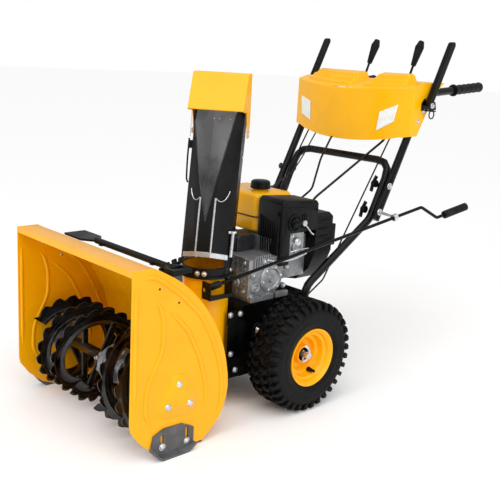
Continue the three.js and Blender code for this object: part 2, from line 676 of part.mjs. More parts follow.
place('control_panel', cut(panelOuter, panelInner, belowPanel, ...leverSlots, ...leverClearance), yellow);

// A shift lever: a stem from a pivot inside the panel up to its knob.
function shiftLever(x) {
  const slope = 0.43;
  const at = (z) => [x, shiftPivotY + (z - shiftPivotZ) * slope, z];
  return join(rod([at(shiftPivotZ - 12), at(1012)], 4, 0, 8),
    round([x - 9, shiftPivotY, shiftPivotZ], [x + 9, shiftPivotY, shiftPivotZ], 9, 12),
    round(at(1000), at(1060), 8.5, 12, 15), round(at(1059), at(1078), 15, 12, 9));
}
place('speed_lever', shiftLever(speedLeverX), black);
place('deflector_lever', shiftLever(tiltLeverX), black);

// ---- clutch cables ------------------------------------------------------------------------------
const cableRadius = 2.5;
const cableRoute = [[206, 504, 862], [200, 496, 830], [176, 462, 790], [174, 180, 338],
  [160, frameRear + 6, 285], [160, frameRear + 6, 240]];
placePair('clutch_cable', rod(cableRoute, cableRadius, 40, 8), black);

// ---- chute crank --------------------------------------------------------------------------------
const wormPoint = new THREE.Vector3(163, -268, 381);
const eyePoint = new THREE.Vector3(320, 322, 549);
const rodWay = eyePoint.clone().sub(wormPoint).normalize();
const hang = new THREE.Vector3(0, 0, -1).addScaledVector(rodWay, rodWay.z).normalize();
const crankOffset = 52;
function alongCrank(distance, offset = 0) {
  return wormPoint.clone().addScaledVector(rodWay, distance).addScaledVector(hang, offset).toArray();
}
const bendAt = eyePoint.distanceTo(wormPoint) + 103;
const crankRod = join(
  rod([alongCrank(-16), alongCrank(bendAt), alongCrank(bendAt + 54, crankOffset),
    alongCrank(bendAt + 176, crankOffset)], 5, 12, 10),
  round(alongCrank(-8), alongCrank(30), 9.5, 16),
);
place('crank_rod', crankRod, black);
const crankGrip = cut(round(alongCrank(bendAt + 82, crankOffset), alongCrank(bendAt + 173, crankOffset), 12.5, 16),
  round(alongCrank(bendAt + 70, crankOffset), alongCrank(bendAt + 190, crankOffset), 5.6, 12));
place('crank_grip', crankGrip, rubber);

const eyeAt = eyePoint.distanceTo(wormPoint);
const eyeRing = cut(
  join(round(alongCrank(eyeAt - 7), alongCrank(eyeAt + 7), 11, 16),
    round([barX + handleTube + gap, 346, 549], eyePoint.toArray(), 4.5, 12)),
  round(alongCrank(eyeAt - 20), alongCrank(eyeAt + 20), 6, 12),
);
place('crank_bracket', eyeRing, zinc);

const wormHoles = round(alongCrank(-40), alongCrank(100), 6.2, 12);
const wormBracket = cut(join(
  block([150, 186], [-288, -285], [350, 399]),
  block([150, 186], [-210, -207], [350, 399]),
  block([183, 186], [-288, -207], [350, 362]),
  block([150, 186], [-288, -207], [350, 353]),
), wormHoles, round([outletX, outletY, 300], [outletX, outletY, 420], outletRadius + gap, 32));
place('worm_bracket', wormBracket, black);

// ---- chute --------------------------------------------------------------------------------------
// Built facing -Y about its own axis, then turned to where it rests.
const chuteGroup = new THREE.Group();
chuteGroup.position.set(outletX, outletY, 0);
chuteGroup.rotation.z = THREE.MathUtils.degToRad(chuteRestTurn);
machine.add(chuteGroup);

const ringBody = cut(join(round([0, 0, ringBase], [0, 0, ringTop], outletRadius + 4, 32),
  round([0, 0, ringBase], [0, 0, ringBase + 6], ringFlangeRadius, 36)),
round([0, 0, ringBase - 5], [0, 0, ringTop + 5], outletRadius - sheet, 32));
place('chute_ring', ringBody, black, chuteGroup);

// An eight-sided tube between two heights; the section moves by the lean.
function leaningTube(inset, z0, z1) {
  const w = chuteHalfWidth - inset;
  const flat = 21;
  const mid = 24;
  const section = [[-flat, -w], [flat, -w], [w, -mid], [w, mid], [flat + 12, w], [-flat - 12, w], [-w, mid],
    [-w, -mid]];
  const shape = outline(section);
  const geometry = new THREE.ExtrudeGeometry(shape, { depth: z1 - z0, bevelEnabled: false });
  const lean = new THREE.Matrix4().set(1, 0, chuteLeanSide / chuteHeight, 0,
    0, 1, chuteLeanBack / chuteHeight, 0, 0, 0, 1, z0, 0, 0, 0, 1);
  const shift = (z0 - ringTop) / chuteHeight;
  geometry.applyMatrix4(lean);
  geometry.translate(chuteLeanSide * shift, chuteLeanBack * shift, 0);
  return solid(geometry);
}
const chuteBottom = ringTop + gap;
const chuteTop = ringTop + chuteHeight;
const tube = cut(leaningTube(0, chuteBottom, chuteTop), leaningTube(sheet, chuteBottom - 5, chuteTop + 5));
const mouthApex = ringTop + 130;
// The mouth is a slanting cut that starts as a point low on the front and takes the whole front at the top.
const mouth = plateAlongY(outline([[2, mouthApex], [66, chuteTop - 40], [140, chuteTop + 20],
  [-140, chuteTop + 20], [-62, chuteTop - 40]]), -200, 26);
const windowArch = plateAlongY(outline([[-57, chuteBottom - 5], [57, chuteBottom - 5], [57, chuteBottom + 24],
  [21, chuteBottom + 34], [-21, chuteBottom + 34], [-57, chuteBottom + 24]]), -120, -18);
place('chute', cut(tube, mouth, windowArch), black, chuteGroup);

// The deflector: a sloping front, a short top and two cheeks that hang from the side bolts.
const deflectorBase = ringTop + deflectorPivotHeight;
const topAt = [chuteLeanSide * 0.95, chuteLeanBack * 0.95];
const cheekOutline = outline([[-14, deflectorBase - 14], [14, deflectorBase - 14], [18, deflectorBase + 70],
  [14, deflectorBase + 162], [-42, deflectorBase + 162], [-96, deflectorBase + 66], [-92, deflectorBase + 62],
  [-40, deflectorBase + 58]].map(([y, z]) => [y + topAt[1], z]));
const deflectorOuter = plateAlongX(cheekOutline, -chuteHalfWidth - 7.5, chuteHalfWidth + 7.5);
const hollowOutline = outline([[-110, deflectorBase - 40], [60, deflectorBase - 40], [60, deflectorBase + 158],
  [-40, deflectorBase + 158.5], [-94.5, deflectorBase + 62], [-110, deflectorBase + 62]]
  .map(([y, z]) => [y + topAt[1], z]));
const deflectorInner = plateAlongX(hollowOutline, -chuteHalfWidth - 5, chuteHalfWidth + 5);
place('deflector', cut(deflectorOuter, deflectorInner).translate([topAt[0], 0, 0]), yellow, chuteGroup);

// ---- clean-out tool -----------------------------------------------------------------------------
const toolY = -446;
const toolZ = 474;
const tool = join(
  round([-132, toolY, toolZ], [214, toolY, toolZ], 9, 14),
  plateAlongZ(outline([[-250, toolY - 34], [-160, toolY - 34], [-125, toolY - 8], [-125, toolY + 8],
    [-160, toolY + 34], [-250, toolY + 34]]), toolZ - 3, toolZ + 3),
  cut(plateAlongZ(outline([[205, toolY - 10], [225, toolY - 30], [262, toolY - 30], [262, toolY + 30],
    [225, toolY + 30], [205, toolY + 10]]), toolZ - 6, toolZ + 6),
  block([226, 250], [toolY - 19, toolY + 19], [toolZ - 10, toolZ + 10])),
);
place('cleanout_tool', tool, darkPlastic);

// ---- origin: middle of the bottom ---------------------------------------------------------------
machine.updateMatrixWorld(true);
const extent = new THREE.Box3().setFromObject(machine, true);
const middle = extent.getCenter(new THREE.Vector3());
machine.position.set(-middle.x, -middle.y, -extent.min.z);
machine.updateMatrixWorld(true);

// Joint axes and points, in millimetres about the final origin, for whoever drives the machine.
function finalPoint(x, y, z) {
  return [x - middle.x, y - middle.y, z - extent.min.z];
}
function chutePoint(x, y, z) {
  const turn = THREE.MathUtils.degToRad(chuteRestTurn);
  return finalPoint(outletX + x * Math.cos(turn) - y * Math.sin(turn),
    outletY + x * Math.sin(turn) + y * Math.cos(turn), z);
}
machine.userData = {
  auger: finalPoint(0, augerY, augerZ),
  crankshaft: finalPoint(crankX, 0, crankZ),
  driveDisc: finalPoint(0, 0, hexShaftZ),
  hexShaft: finalPoint(0, hexShaftY, hexShaftZ),
  wheels: finalPoint(0, 0, wheelRadius),
  chute: finalPoint(outletX, outletY, ringTop),
  deflector: chutePoint(topAt[0], topAt[1], deflectorBase),
  deflectorAxis: [Math.cos(THREE.MathUtils.degToRad(chuteRestTurn)),
    Math.sin(THREE.MathUtils.degToRad(chuteRestTurn)), 0],
  crank: finalPoint(...wormPoint.toArray()),
  crankAxis: rodWay.toArray(),
  crankGrip: finalPoint(...alongCrank(bendAt + 100, crankOffset)),
  leverLeft: finalPoint(...leverPivot),
  leverRight: finalPoint(-leverPivot[0], leverPivot[1], leverPivot[2]),
  speedLever: finalPoint(speedLeverX, shiftPivotY, shiftPivotZ),
  tiltLever: finalPoint(tiltLeverX, shiftPivotY, shiftPivotZ),
  fuelCap: finalPoint(capX, capY, 607),
  choke: finalPoint(...chokeSeat),
  throttle: finalPoint(...throttlePivot),
  skidLeft: finalPoint(skidInner + 11, -480, 0),
  skidRight: finalPoint(-skidInner - 11, -480, 0),
  leverTop: finalPoint(...leverTop),
};

export default machine;
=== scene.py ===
"""Two stage snowblower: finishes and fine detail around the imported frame.

Lengths below are millimetres in the maker's frame: X to the machine's left from the middle of the
auger housing, Y back from the wheel axle, Z up from the ground. at() turns them into scene metres.
"""

import json
import math

import bmesh
import bpy
from bpy.props import FloatProperty, FloatVectorProperty, IntProperty, PointerProperty
from mathutils import Matrix, Vector
from mathutils.geometry import interpolate_bezier


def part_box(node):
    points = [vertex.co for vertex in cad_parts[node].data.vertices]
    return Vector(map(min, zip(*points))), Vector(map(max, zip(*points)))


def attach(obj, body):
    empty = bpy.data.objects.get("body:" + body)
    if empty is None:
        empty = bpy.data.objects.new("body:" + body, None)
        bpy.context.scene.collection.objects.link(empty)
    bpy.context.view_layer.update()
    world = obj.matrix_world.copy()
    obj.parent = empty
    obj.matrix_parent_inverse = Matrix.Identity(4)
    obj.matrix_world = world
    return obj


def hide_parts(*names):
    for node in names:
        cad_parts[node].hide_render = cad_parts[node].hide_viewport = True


bl_info = {
    "name": "Two stage snowblower",
    "version": (1, 0, 0),
    "blender": (4, 5, 0),
    "location": "3D View > Sidebar > Snowblower",
    "description": "Builds the finishes and the fine detail of a two stage snowblower",
    "category": "Object",
}

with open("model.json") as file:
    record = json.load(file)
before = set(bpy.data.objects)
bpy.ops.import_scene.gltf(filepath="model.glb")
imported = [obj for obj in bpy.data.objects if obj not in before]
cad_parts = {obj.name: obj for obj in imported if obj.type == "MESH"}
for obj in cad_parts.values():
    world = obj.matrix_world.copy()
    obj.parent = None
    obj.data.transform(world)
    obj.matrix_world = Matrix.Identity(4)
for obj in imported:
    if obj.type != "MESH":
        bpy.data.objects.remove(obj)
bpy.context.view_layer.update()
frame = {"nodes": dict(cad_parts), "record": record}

MM = 0.001
X, Y, Z = Vector((1, 0, 0)), Vector((0, 1, 0)), Vector((0, 0, 1))
SIDES = (-1, 1)
HANDS = ((1, "left"), (-1, "right"))


# ---- places taken from the frame -----------------------------------------------------------------
def middle(node):
    low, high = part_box(node)
    return (low + high) / 2


ORIGIN = Vector((middle("auger_shaft").x, middle("wheel_axle").y, 0))
AUGER = middle("auger_shaft")
AXLE = middle("wheel_axle")
WHEEL_RADIUS = AXLE.z
PLATE = (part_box("side_plate_left")[1].x - ORIGIN.x) / MM
FRAME_SIDE = (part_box("tractor_frame")[1].x - ORIGIN.x) / MM
RING = middle("chute_ring")
RING_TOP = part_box("chute_ring")[1].z / MM
CHUTE_TURN = math.radians(38)
CHUTE_LEAN = (16 / 470, 60 / 470)


def at(x, y, z):
    return ORIGIN + Vector((x, y, z)) * MM


def on_chute(x, y, height):
    """A point of the chute: x across it, y back from its middle, height above the chute ring."""
    across, back = (x + CHUTE_LEAN[0] * height) * MM, (y + CHUTE_LEAN[1] * height) * MM
    turned_point = Matrix.Rotation(CHUTE_TURN, 3, "Z") @ Vector((across, back, 0))
    return Vector((RING.x, RING.y, (RING_TOP + height) * MM)) + turned_point


def chute_way(x, y, z=0):
    return Matrix.Rotation(CHUTE_TURN, 3, "Z") @ Vector((x, y, z)).normalized()


# ---- settings that a user would change -----------------------------------------------------------
def srgb(code):
    """The linear colour of an sRGB hex value."""
    parts = [int(code[i : i + 2], 16) / 255 for i in (0, 2, 4)]
    return [c / 12.92 if c <= 0.04045 else ((c + 0.055) / 1.055) ** 2.4 for c in parts]


def colour_setting(name, code, description):
    return FloatVectorProperty(
        name=name, description=description, default=srgb(code), subtype="COLOR", min=0, max=1
    )


def length_setting(name, value, description):
    return FloatProperty(
        name=name, description=description, default=value * MM, unit="LENGTH", min=0
    )


class SnowblowerColours(bpy.types.PropertyGroup):
    """Colours of the machine's finishes"""

    paint: colour_setting("Housing paint", "FBB000", "Powder coat of housing and chute hood")
    plastic: colour_setting("Yellow plastic", "FCB700", "Moulded control panel and fuel tank")
    black: colour_setting("Black coat", "030303", "Powder coat of frame, handles and augers")
    moulded: colour_setting("Black plastic", "070708", "Moulded covers and knobs")
    rubber: colour_setting("Rubber", "060606", "Tyres and grips")
    skid: colour_setting("Skid coat", "4A4A4D", "Dark grey coat of the skid shoes")
    # Colour of the light grey painted sheen on the chute's glossy black inner face.
    chute_sheen: colour_setting("Chute inner painted sheen", "B2B3B5", "Light grey painted sheen on the chute's glossy black inner face")
    floor: colour_setting("Floor", "FDFDFD", "Studio floor")


class SnowblowerSizes(bpy.types.PropertyGroup):
    """Sizes of the fine detail"""

    edge: length_setting("Edge round", 0.8, "Rounding of sheet and moulded edges")
    bead: length_setting("Pressed bead width", 13, "Width of the beads in the side plates")
    bolt: length_setting("Bolt head", 13, "Width across the flats of a bolt head")
    tread: length_setting("Tread depth", 11, "Height of the tyre's lugs")
    lugs: IntProperty(name="Tread pitches", description="Lugs round a tyre", default=34, min=8)
    teeth: IntProperty(name="Auger teeth", description="Teeth along one flight", default=24, min=6)


def colours():
    return bpy.context.scene.snowblower_colours


def sizes():
    return bpy.context.scene.snowblower_sizes


# ---- materials -----------------------------------------------------------------------------------
def add(tree, kind, inputs=None, **settings):
    """Adds a node, sets what it is, and fills its inputs: a socket is linked, a value is set."""
    made = tree.nodes.new(kind)
    for name, value in settings.items():
        setattr(made, name, value)
    for name, value in (inputs or {}).items():
        if isinstance(value, bpy.types.NodeSocket):
            tree.links.new(value, made.inputs[name])
        else:
            made.inputs[name].default_value = value
    return made


def rgba(colour):
    return [*colour, 1.0]


def finish(name, colour, worn, rough, grain, depth, patch=60, metallic=0.0, coat=0.0,
           stretch=None, dimple=False, shine=0.5):
    """A finish of two shades in broad patches, with grain of a real size in millimetres.

    rough is the (lowest, highest) roughness, depth the height of the grain in millimetres,
    patch how broad the shading is, stretch draws the grain out along an axis, dimple makes it
    cells instead of cloud, and shine is the specular level.
    """
    if name in bpy.data.materials:
        return bpy.data.materials[name]
    material = bpy.data.materials.new(name)
    material.use_nodes = True
    tree = material.node_tree
    tree.nodes.clear()
    place = add(tree, "ShaderNodeTexCoord").outputs["Object"]
    drawn = place
    if stretch:
        drawn = add(tree, "ShaderNodeMapping", {"Vector": place, "Scale": stretch}).outputs[0]
    broad = add(tree, "ShaderNodeTexNoise",
                {"Vector": place, "Scale": 1 / (patch * MM), "Detail": 4.0, "Roughness": 0.6})
    if dimple:
        fine = add(tree, "ShaderNodeTexVoronoi", {"Vector": drawn, "Scale": 1 / (grain * MM)})
    else:
        fine = add(tree, "ShaderNodeTexNoise",
                   {"Vector": drawn, "Scale": 1 / (grain * MM), "Detail": 3.0})
    amount = add(tree, "ShaderNodeMapRange",
                 {"Value": broad.outputs[0], "From Min": 0.42, "From Max": 0.72})
    shade = add(tree, "ShaderNodeMix", {0: amount.outputs[0], 6: rgba(colour), 7: rgba(worn)},
                data_type="RGBA")
    roughness = add(tree, "ShaderNodeMapRange", {"Value": broad.outputs[0], "From Min": 0.3,
                                                 "From Max": 0.7, "To Min": rough[0],
                                                 "To Max": rough[1]})
    bump = add(tree, "ShaderNodeBump", {"Height": fine.outputs[0], "Strength": 0.6,
                                        "Distance": depth * MM})
    shader = add(tree, "ShaderNodeBsdfPrincipled", {
        "Base Color": shade.outputs[2], "Roughness": roughness.outputs[0],
        "Metallic": metallic, "Normal": bump.outputs[0], "Coat Weight": coat,
        "Coat Roughness": 0.12, "Specular IOR Level": shine,
    })
    add(tree, "ShaderNodeOutputMaterial", {"Surface": shader.outputs[0]})
    return material


def lifted(colour, amount):
    return [c + (1 - c) * amount for c in colour]


def yellow_coat():
    # Glossy powder coat on steel: an even orange-peel skin, dulled a little in patches.
    paint = colours().paint
    return finish("yellow powder coat", paint, [c * 0.93 for c in paint], (0.24, 0.36), 2.2, 0.05,
                  patch=90, coat=0.12, shine=0.25)


def yellow_plastic():
    # Gloss polypropylene from a polished mould: smoother and a touch lighter than the coat.
    plastic = colours().plastic
    return finish("yellow moulded polypropylene", plastic, [c * 0.95 for c in plastic],
                  (0.2, 0.32), 4, 0.03, patch=120, coat=0.15, shine=0.25)


def black_coat():
    # Satin black powder coat: fine orange peel that breaks up the long highlights on tubes.
    return finish("black powder coat", colours().black, lifted(colours().black, 0.005),
                  (0.24, 0.38), 1.8, 0.05, patch=70, shine=0.2)


def auger_coat():
    # Thick black dip coat on the augers: wet-looking, so the pressed fold shows as a bright line.
    return finish("glossy black dip coat", colours().black, lifted(colours().black, 0.012),
                  (0.14, 0.24), 2.4, 0.04, patch=60, coat=0.4, shine=0.45)


def black_plastic():
    # Spark-eroded black polypropylene: dull, with an even fine grain.
    moulded = colours().moulded
    return finish("black grained polypropylene", moulded, lifted(moulded, 0.006), (0.36, 0.5), 1.4,
                  0.06, patch=50, dimple=True, shine=0.17)


def tyre_rubber():
    # Moulded tread rubber with a bloom that lightens it in patches.
    return finish("moulded tyre rubber", colours().rubber, lifted(colours().rubber, 0.008),
                  (0.5, 0.7), 2.5, 0.15, patch=35, shine=0.15)


def grip_rubber():
    # Soft black grip rubber, matt and slightly pebbled.
    return finish("soft grip rubber", colours().rubber, lifted(colours().rubber, 0.012),
                  (0.45, 0.6), 1.6, 0.08, patch=25, dimple=True, shine=0.2)


def skid_coat():
    # Dark grey coat over cast shoes, chalky from handling.
    return finish("dark grey skid coat", colours().skid, lifted(colours().skid, 0.05),
                  (0.45, 0.62), 1.8, 0.1, patch=30)


def cast_aluminium():
    # Sand cast aluminium: a fine pitted skin, bright where the blast reached and duller in hollows.
    return finish("sand cast aluminium", srgb("A9ABAD"), srgb("85878A"), (0.38, 0.55), 2.2, 0.25,
                  patch=22, metallic=0.75)


def zinc_plate():
    # Bright zinc plate on bolts and wire: pale, a little blue, with soft wear.
    return finish("bright zinc plate", srgb("DADDE0"), srgb("B4B8BC"), (0.2, 0.36), 1.2, 0.04,
                  patch=12, metallic=0.85)


def dark_steel():
    # Bare steel that has gone dark: engine and drive parts that are never painted.
    return finish("dark oiled steel", srgb("4B4C4E"), srgb("353638"), (0.35, 0.5), 1.5, 0.08,
                  patch=20, metallic=0.8)


def chute_painted_sheen():
    # Painted sheen: the glossy black inner face is painted light grey for the reflection it shows,
    # darker in random patches, with long streaks in its grain up the chute.
    return finish("chute inner painted sheen", colours().chute_sheen, [c * 0.42 for c in colours().chute_sheen],
                  (0.22, 0.4), 9, 0.12, patch=75, coat=0.2, stretch=(1.0, 1.0, 0.15))


def dark_opening():
    # Painted shade: a near-black for the shadow inside an opening or a drilled hole.
    return finish("shadowed hole", srgb("0A0705"), srgb("060504"), (0.8, 0.9), 2, 0.05)


def reflector_lens():
    # Prismatic white reflector: small cells under a clear skin.
    return finish("white prismatic reflector", srgb("F1F2F0"), srgb("DDE0DE"), (0.12, 0.25), 3.2,
                  0.5, patch=18, coat=0.8, dimple=True)


def belt_rubber():
    # Fabric-faced V-belt: matt black with a close weave.
    return finish("fabric faced belt", srgb("1B1B1C"), srgb("262627"), (0.7, 0.85), 1.1, 0.15)


# ---- shapes --------------------------------------------------------------------------------------
WASHER = 1.5


def spoke(degrees, across=Y, up=Z):
    """The way out from an axis, its angle taken from across towards up."""
    angle = math.radians(degrees)
    return across * math.cos(angle) + up * math.sin(angle)


def facing(point, way):
    """A frame at a point whose Z looks along way."""
    return Matrix.Translation(point) @ Vector(way).to_track_quat("Z", "Y").to_matrix().to_4x4()


def bar(bm, start, end, radius, end_radius=None, sides=20):
    """A round bar or cone between two points, radii in millimetres."""
    way = end - start
    end_radius = radius if end_radius is None else end_radius
    bmesh.ops.create_cone(
        bm, cap_ends=True, segments=sides, radius1=radius * MM, radius2=end_radius * MM,
        depth=way.length, matrix=facing((start + end) / 2, way))


def rod(bm, point, way, start, end, radius, end_radius=None, sides=20):
    """A round bar along way, from start to end in millimetres from a point."""
    bar(bm, point + way * start * MM, point + way * end * MM, radius, end_radius, sides)


def block(bm, low, high):
    """A block between two corners in the maker's frame."""
    low, high = at(*low), at(*high)
    matrix = Matrix.Translation((low + high) / 2) @ Matrix.Diagonal((*(high - low), 1))
    bmesh.ops.create_cube(bm, size=1, matrix=matrix)


def rounded(bm, edges, width, segments):
    """Rounds edges off by a width in millimetres."""
    bmesh.ops.bevel(bm, geom=edges, offset=width * MM, offset_type="OFFSET", segments=segments,
                    profile=0.5, affect="EDGES", material=-1, clamp_overlap=True)


def head(bm, point, way, across=None, height=5, sides=6, washer=True):
    """A bolt head standing on a face, with its washer and the chamfer on its top quarter."""
    way = Vector(way).normalized()
    across = across or sizes().bolt / MM
    base = point
    if washer:
        rod(bm, base, way, 0, WASHER, across * 0.85, across * 0.8, 20)
        base = base + way * WASHER * MM
    rod(bm, base, way, 0, height * 0.75, across * 0.56, None, sides)
    rod(bm, base, way, height * 0.75, height, across * 0.55, across * 0.4, sides)


def dome(bm, point, way, radius, height):
    """A low round head, such as a carriage bolt or a rivet."""
    matrix = facing(point, way) @ Matrix.Diagonal((radius * MM, radius * MM, height * MM, 1))
    bmesh.ops.create_uvsphere(bm, u_segments=18, v_segments=10, radius=1, matrix=matrix)


def bent(corners, bend, steps=6):
    """A path of straight runs with its corners rounded off, bend in millimetres."""
    path = [corners[0]]
    for before, corner, after in zip(corners, corners[1:], corners[2:]):
        back, on = before - corner, after - corner
        reach = min(bend * MM, back.length * 0.48, on.length * 0.48)
        start, end = corner + back.normalized() * reach, corner + on.normalized() * reach
        path += interpolate_bezier(start, start.lerp(corner, 0.55), end.lerp(corner, 0.55), end,
                                   steps + 1)
    return path + [corners[-1]]


def flowing(points, steps=5):
    """A smooth path through points."""
    ends = [points[0] * 2 - points[1]] + list(points) + [points[-1] * 2 - points[-2]]
    path = []
    for a, b, c, d in zip(ends, ends[1:], ends[2:], ends[3:]):
        path += interpolate_bezier(b, b + (c - a) / 6, c - (d - b) / 6, c, steps + 1)[:-1]
    return path + [points[-1]]


def swept(bm, path, radius, sides=10, squash=None, taper=0):
    """A bar swept along a path. squash (way, factor) flattens it; taper runs its ends out."""
    ways = [(b - a).normalized() for a, b in zip(path, path[1:])]
    turns = ways[:1] + [(a + b).normalized() for a, b in zip(ways, ways[1:])] + ways[-1:]
    ring = bmesh.ops.create_circle(bm, segments=sides, radius=radius * MM,
                                   matrix=facing(path[0], turns[0]))["verts"]
    edges = list({e for v in ring for e in v.link_edges})
    bm.faces.new(ring)
    rings = [ring]
    for here, there, turn, next_turn in zip(path, path[1:], turns, turns[1:]):
        geometry = bmesh.ops.extrude_edge_only(bm, edges=edges)["geom"]
        ring = [v for v in geometry if isinstance(v, bmesh.types.BMVert)]
        edges = [e for e in geometry if isinstance(e, bmesh.types.BMEdge)
                 and e.verts[0] in ring and e.verts[1] in ring]
        swing = turn.rotation_difference(next_turn).to_matrix()
        bmesh.ops.rotate(bm, verts=ring, cent=here, matrix=swing)
        bmesh.ops.translate(bm, verts=ring, vec=there - here)
        rings.append(ring)
    bmesh.ops.edgeloop_fill(bm, edges=edges)
    for i, (point, ring) in enumerate(zip(path, rings)):
        share = 1
        if taper:
            share = min(1, (i + 0.25) / taper, (len(path) - 0.75 - i) / taper)
            share = math.sin(share * math.pi / 2)
        for v in ring:
            offset = (v.co - point) * share
            if squash:
                way, factor = squash
                offset -= way * offset.dot(way) * (1 - factor)
            v.co = point + offset


def turned(bm, profile, centre, axis, steps):
    """Spins a profile of (along, radius) pairs in millimetres right round an axis."""
    side = Z if abs(axis.z) < 0.5 else Y
    verts = [bm.verts.new(centre + axis * a * MM + side * r * MM) for a, r in profile]
    edges = [bm.edges.new(pair) for pair in zip(verts, verts[1:])]
    bmesh.ops.spin(bm, geom=verts + edges, cent=centre, axis=axis, angle=math.tau, steps=steps,
                   use_merge=True)


def flat_shape(bm, outline, thickness, taper=1.0):
    """A plate: its outline of points is filled and pushed out along thickness."""
    face = bm.faces.new([bm.verts.new(p) for p in outline])
    made = bmesh.ops.extrude_face_region(bm, geom=[face])["geom"]
    top = [v for v in made if isinstance(v, bmesh.types.BMVert)]
    bmesh.ops.translate(bm, verts=top, vec=thickness)
    if taper != 1.0:
        centre = sum((v.co for v in top), Vector()) / len(top)
        bmesh.ops.scale(bm, verts=top, vec=(taper,) * 3, space=Matrix.Translation(-centre))


def join(bm, other):
    """Adds another bmesh to this one and frees it."""
    mesh = bpy.data.meshes.new("joined")
    other.to_mesh(mesh)
    other.free()
    bm.from_mesh(mesh)
    bpy.data.meshes.remove(mesh)


def piece(name, bm, looks, body, stands_for=(), sharp=38, edge=0.0, merge=True):
    """Makes a bmesh into a finished piece that rides on a body.

    Each look becomes one of its material slots. sharp is the angle past which
    an edge stays crisp, and edge the width of its rounding in metres.
    """
    if merge:
        bmesh.ops.remove_doubles(bm, verts=bm.verts, dist=1e-6)
        bmesh.ops.recalc_face_normals(bm, faces=bm.faces)
    mesh = bpy.data.meshes.new(name)
    bm.to_mesh(mesh)
    bm.free()
    looks = looks if isinstance(looks, list) else [looks]
    for look in looks:
        mesh.materials.append(look)
    mesh.shade_smooth()
    mesh.set_sharp_from_angle(angle=math.radians(sharp))
    made = bpy.data.objects.new(name, mesh)
    bpy.context.scene.collection.objects.link(made)
    if edge:
        bevel = made.modifiers.new("rounded edges", "BEVEL")
        bevel.width, bevel.segments = edge, 2
        bevel.limit_method, bevel.angle_limit = "ANGLE", math.radians(40)
        bevel.harden_normals = True
        bevel.use_clamp_overlap = True
    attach(made, body)
    if stands_for:
        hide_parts(*stands_for)
    return made


def node_copy(node):
    """A merged copy of a CAD node, its flat faces made whole."""
    bm = bmesh.new()
    bm.from_mesh(frame["nodes"][node].data)
    bmesh.ops.remove_doubles(bm, verts=bm.verts, dist=5e-6)
    bmesh.ops.dissolve_limit(bm, angle_limit=math.radians(0.6), verts=bm.verts, edges=bm.edges,
                             delimit={"NORMAL"})
    for face in bm.faces:
        face.material_index = 0
    return bm


BODY_OF = {n: b for b, ns in frame["record"]["behaviour"]["bodies"].items() for n in ns}


def finished(node, looks, edge=None, sharp=42, extra=None):
    """The CAD node itself with rounded edges and its own finish; extra adds detail to its mesh."""
    bm = node_copy(node)
    if extra:
        extra(bm)
    edge = sizes().edge if edge is None else edge * MM
    return piece(node + "_finish", bm, looks, BODY_OF[node], (node,), sharp, edge,
                 merge=False)


def detail(name, look, body="root", sharp=38, edge=0.0):
    """A decorator: the function below it fills a bmesh, which becomes a piece."""
    def make(fill):
        bm = bmesh.new()
        fill(bm)
        return piece(name, bm, look, body, sharp=sharp, edge=edge)
    return make


def fittings(name, body="root", edge=0.0):
    """A detail in bright zinc plate: bolts, rivets, rods and wires."""
    return detail(name, zinc_plate(), body, edge=edge)


# ---- auger housing -------------------------------------------------------------------------------
PLATE_BEADS = (
    [(-541, 420), (-527, 399), (-517, 361), (-516, 324), (-519, 289), (-535, 252), (-559, 206),
     (-565, 165), (-563, 127), (-543, 89)],
    [(-504, 390), (-470, 359), (-442, 328), (-430, 307), (-413, 275), (-394, 232), (-377, 173),
     (-372, 133), (-380, 95)],
    [(-585, 480), (-551, 480), (-530, 471), (-497, 448), (-464, 423), (-430, 390), (-401, 361),
     (-368, 307), (-343, 252), (-326, 201), (-319, 149), (-321, 93), (-345, 52)],
    [(-599, 470), (-599, 400), (-599, 300), (-599, 200), (-597, 120)],
)
CARRIAGE_BOLTS = ((-462, 187), (-426, 127), (-496, 132))
PLATE_HOLES = ((-531, 448), (-471, 404))
SKID_BOLTS = ((-514, 31), (-435, 25))
SCRAPER_BOLTS = (-215, -72, 72, 215)
DRUM_MIDDLE, DRUM_RADIUS = (0, -250, 149), 146
PLATE_SHEET = 3
BOSS_RISE = 3.4


def press_beads(bm, paths, x, radius, sides, squash):
    """Runs a flattened bead along each path, on the face of a side plate at x."""
    for points in paths:
        path = flowing([at(x, y, z) for y, z in points])
        swept(bm, path, radius, sides, squash=(X, squash), taper=6)


def bearing_boss(bm, side, face):
    """The low three-cornered boss pressed out round the auger bearing's bolts."""
    rims = []
    for y, z in CARRIAGE_BOLTS:
        for level, radius in ((0, 30), (BOSS_RISE, 26)):
            matrix = facing(at(side * (face + level), y, z), X)
            rims += bmesh.ops.create_circle(bm, segments=24, radius=radius * MM,
                                            matrix=matrix)["verts"]
    bmesh.ops.convex_hull(bm, input=rims)
    bmesh.ops.delete(bm, geom=[v for v in bm.verts if not v.link_faces], context="VERTS")
    bmesh.ops.delete(bm, geom=[e for e in bm.edges if not e.link_faces], context="EDGES")


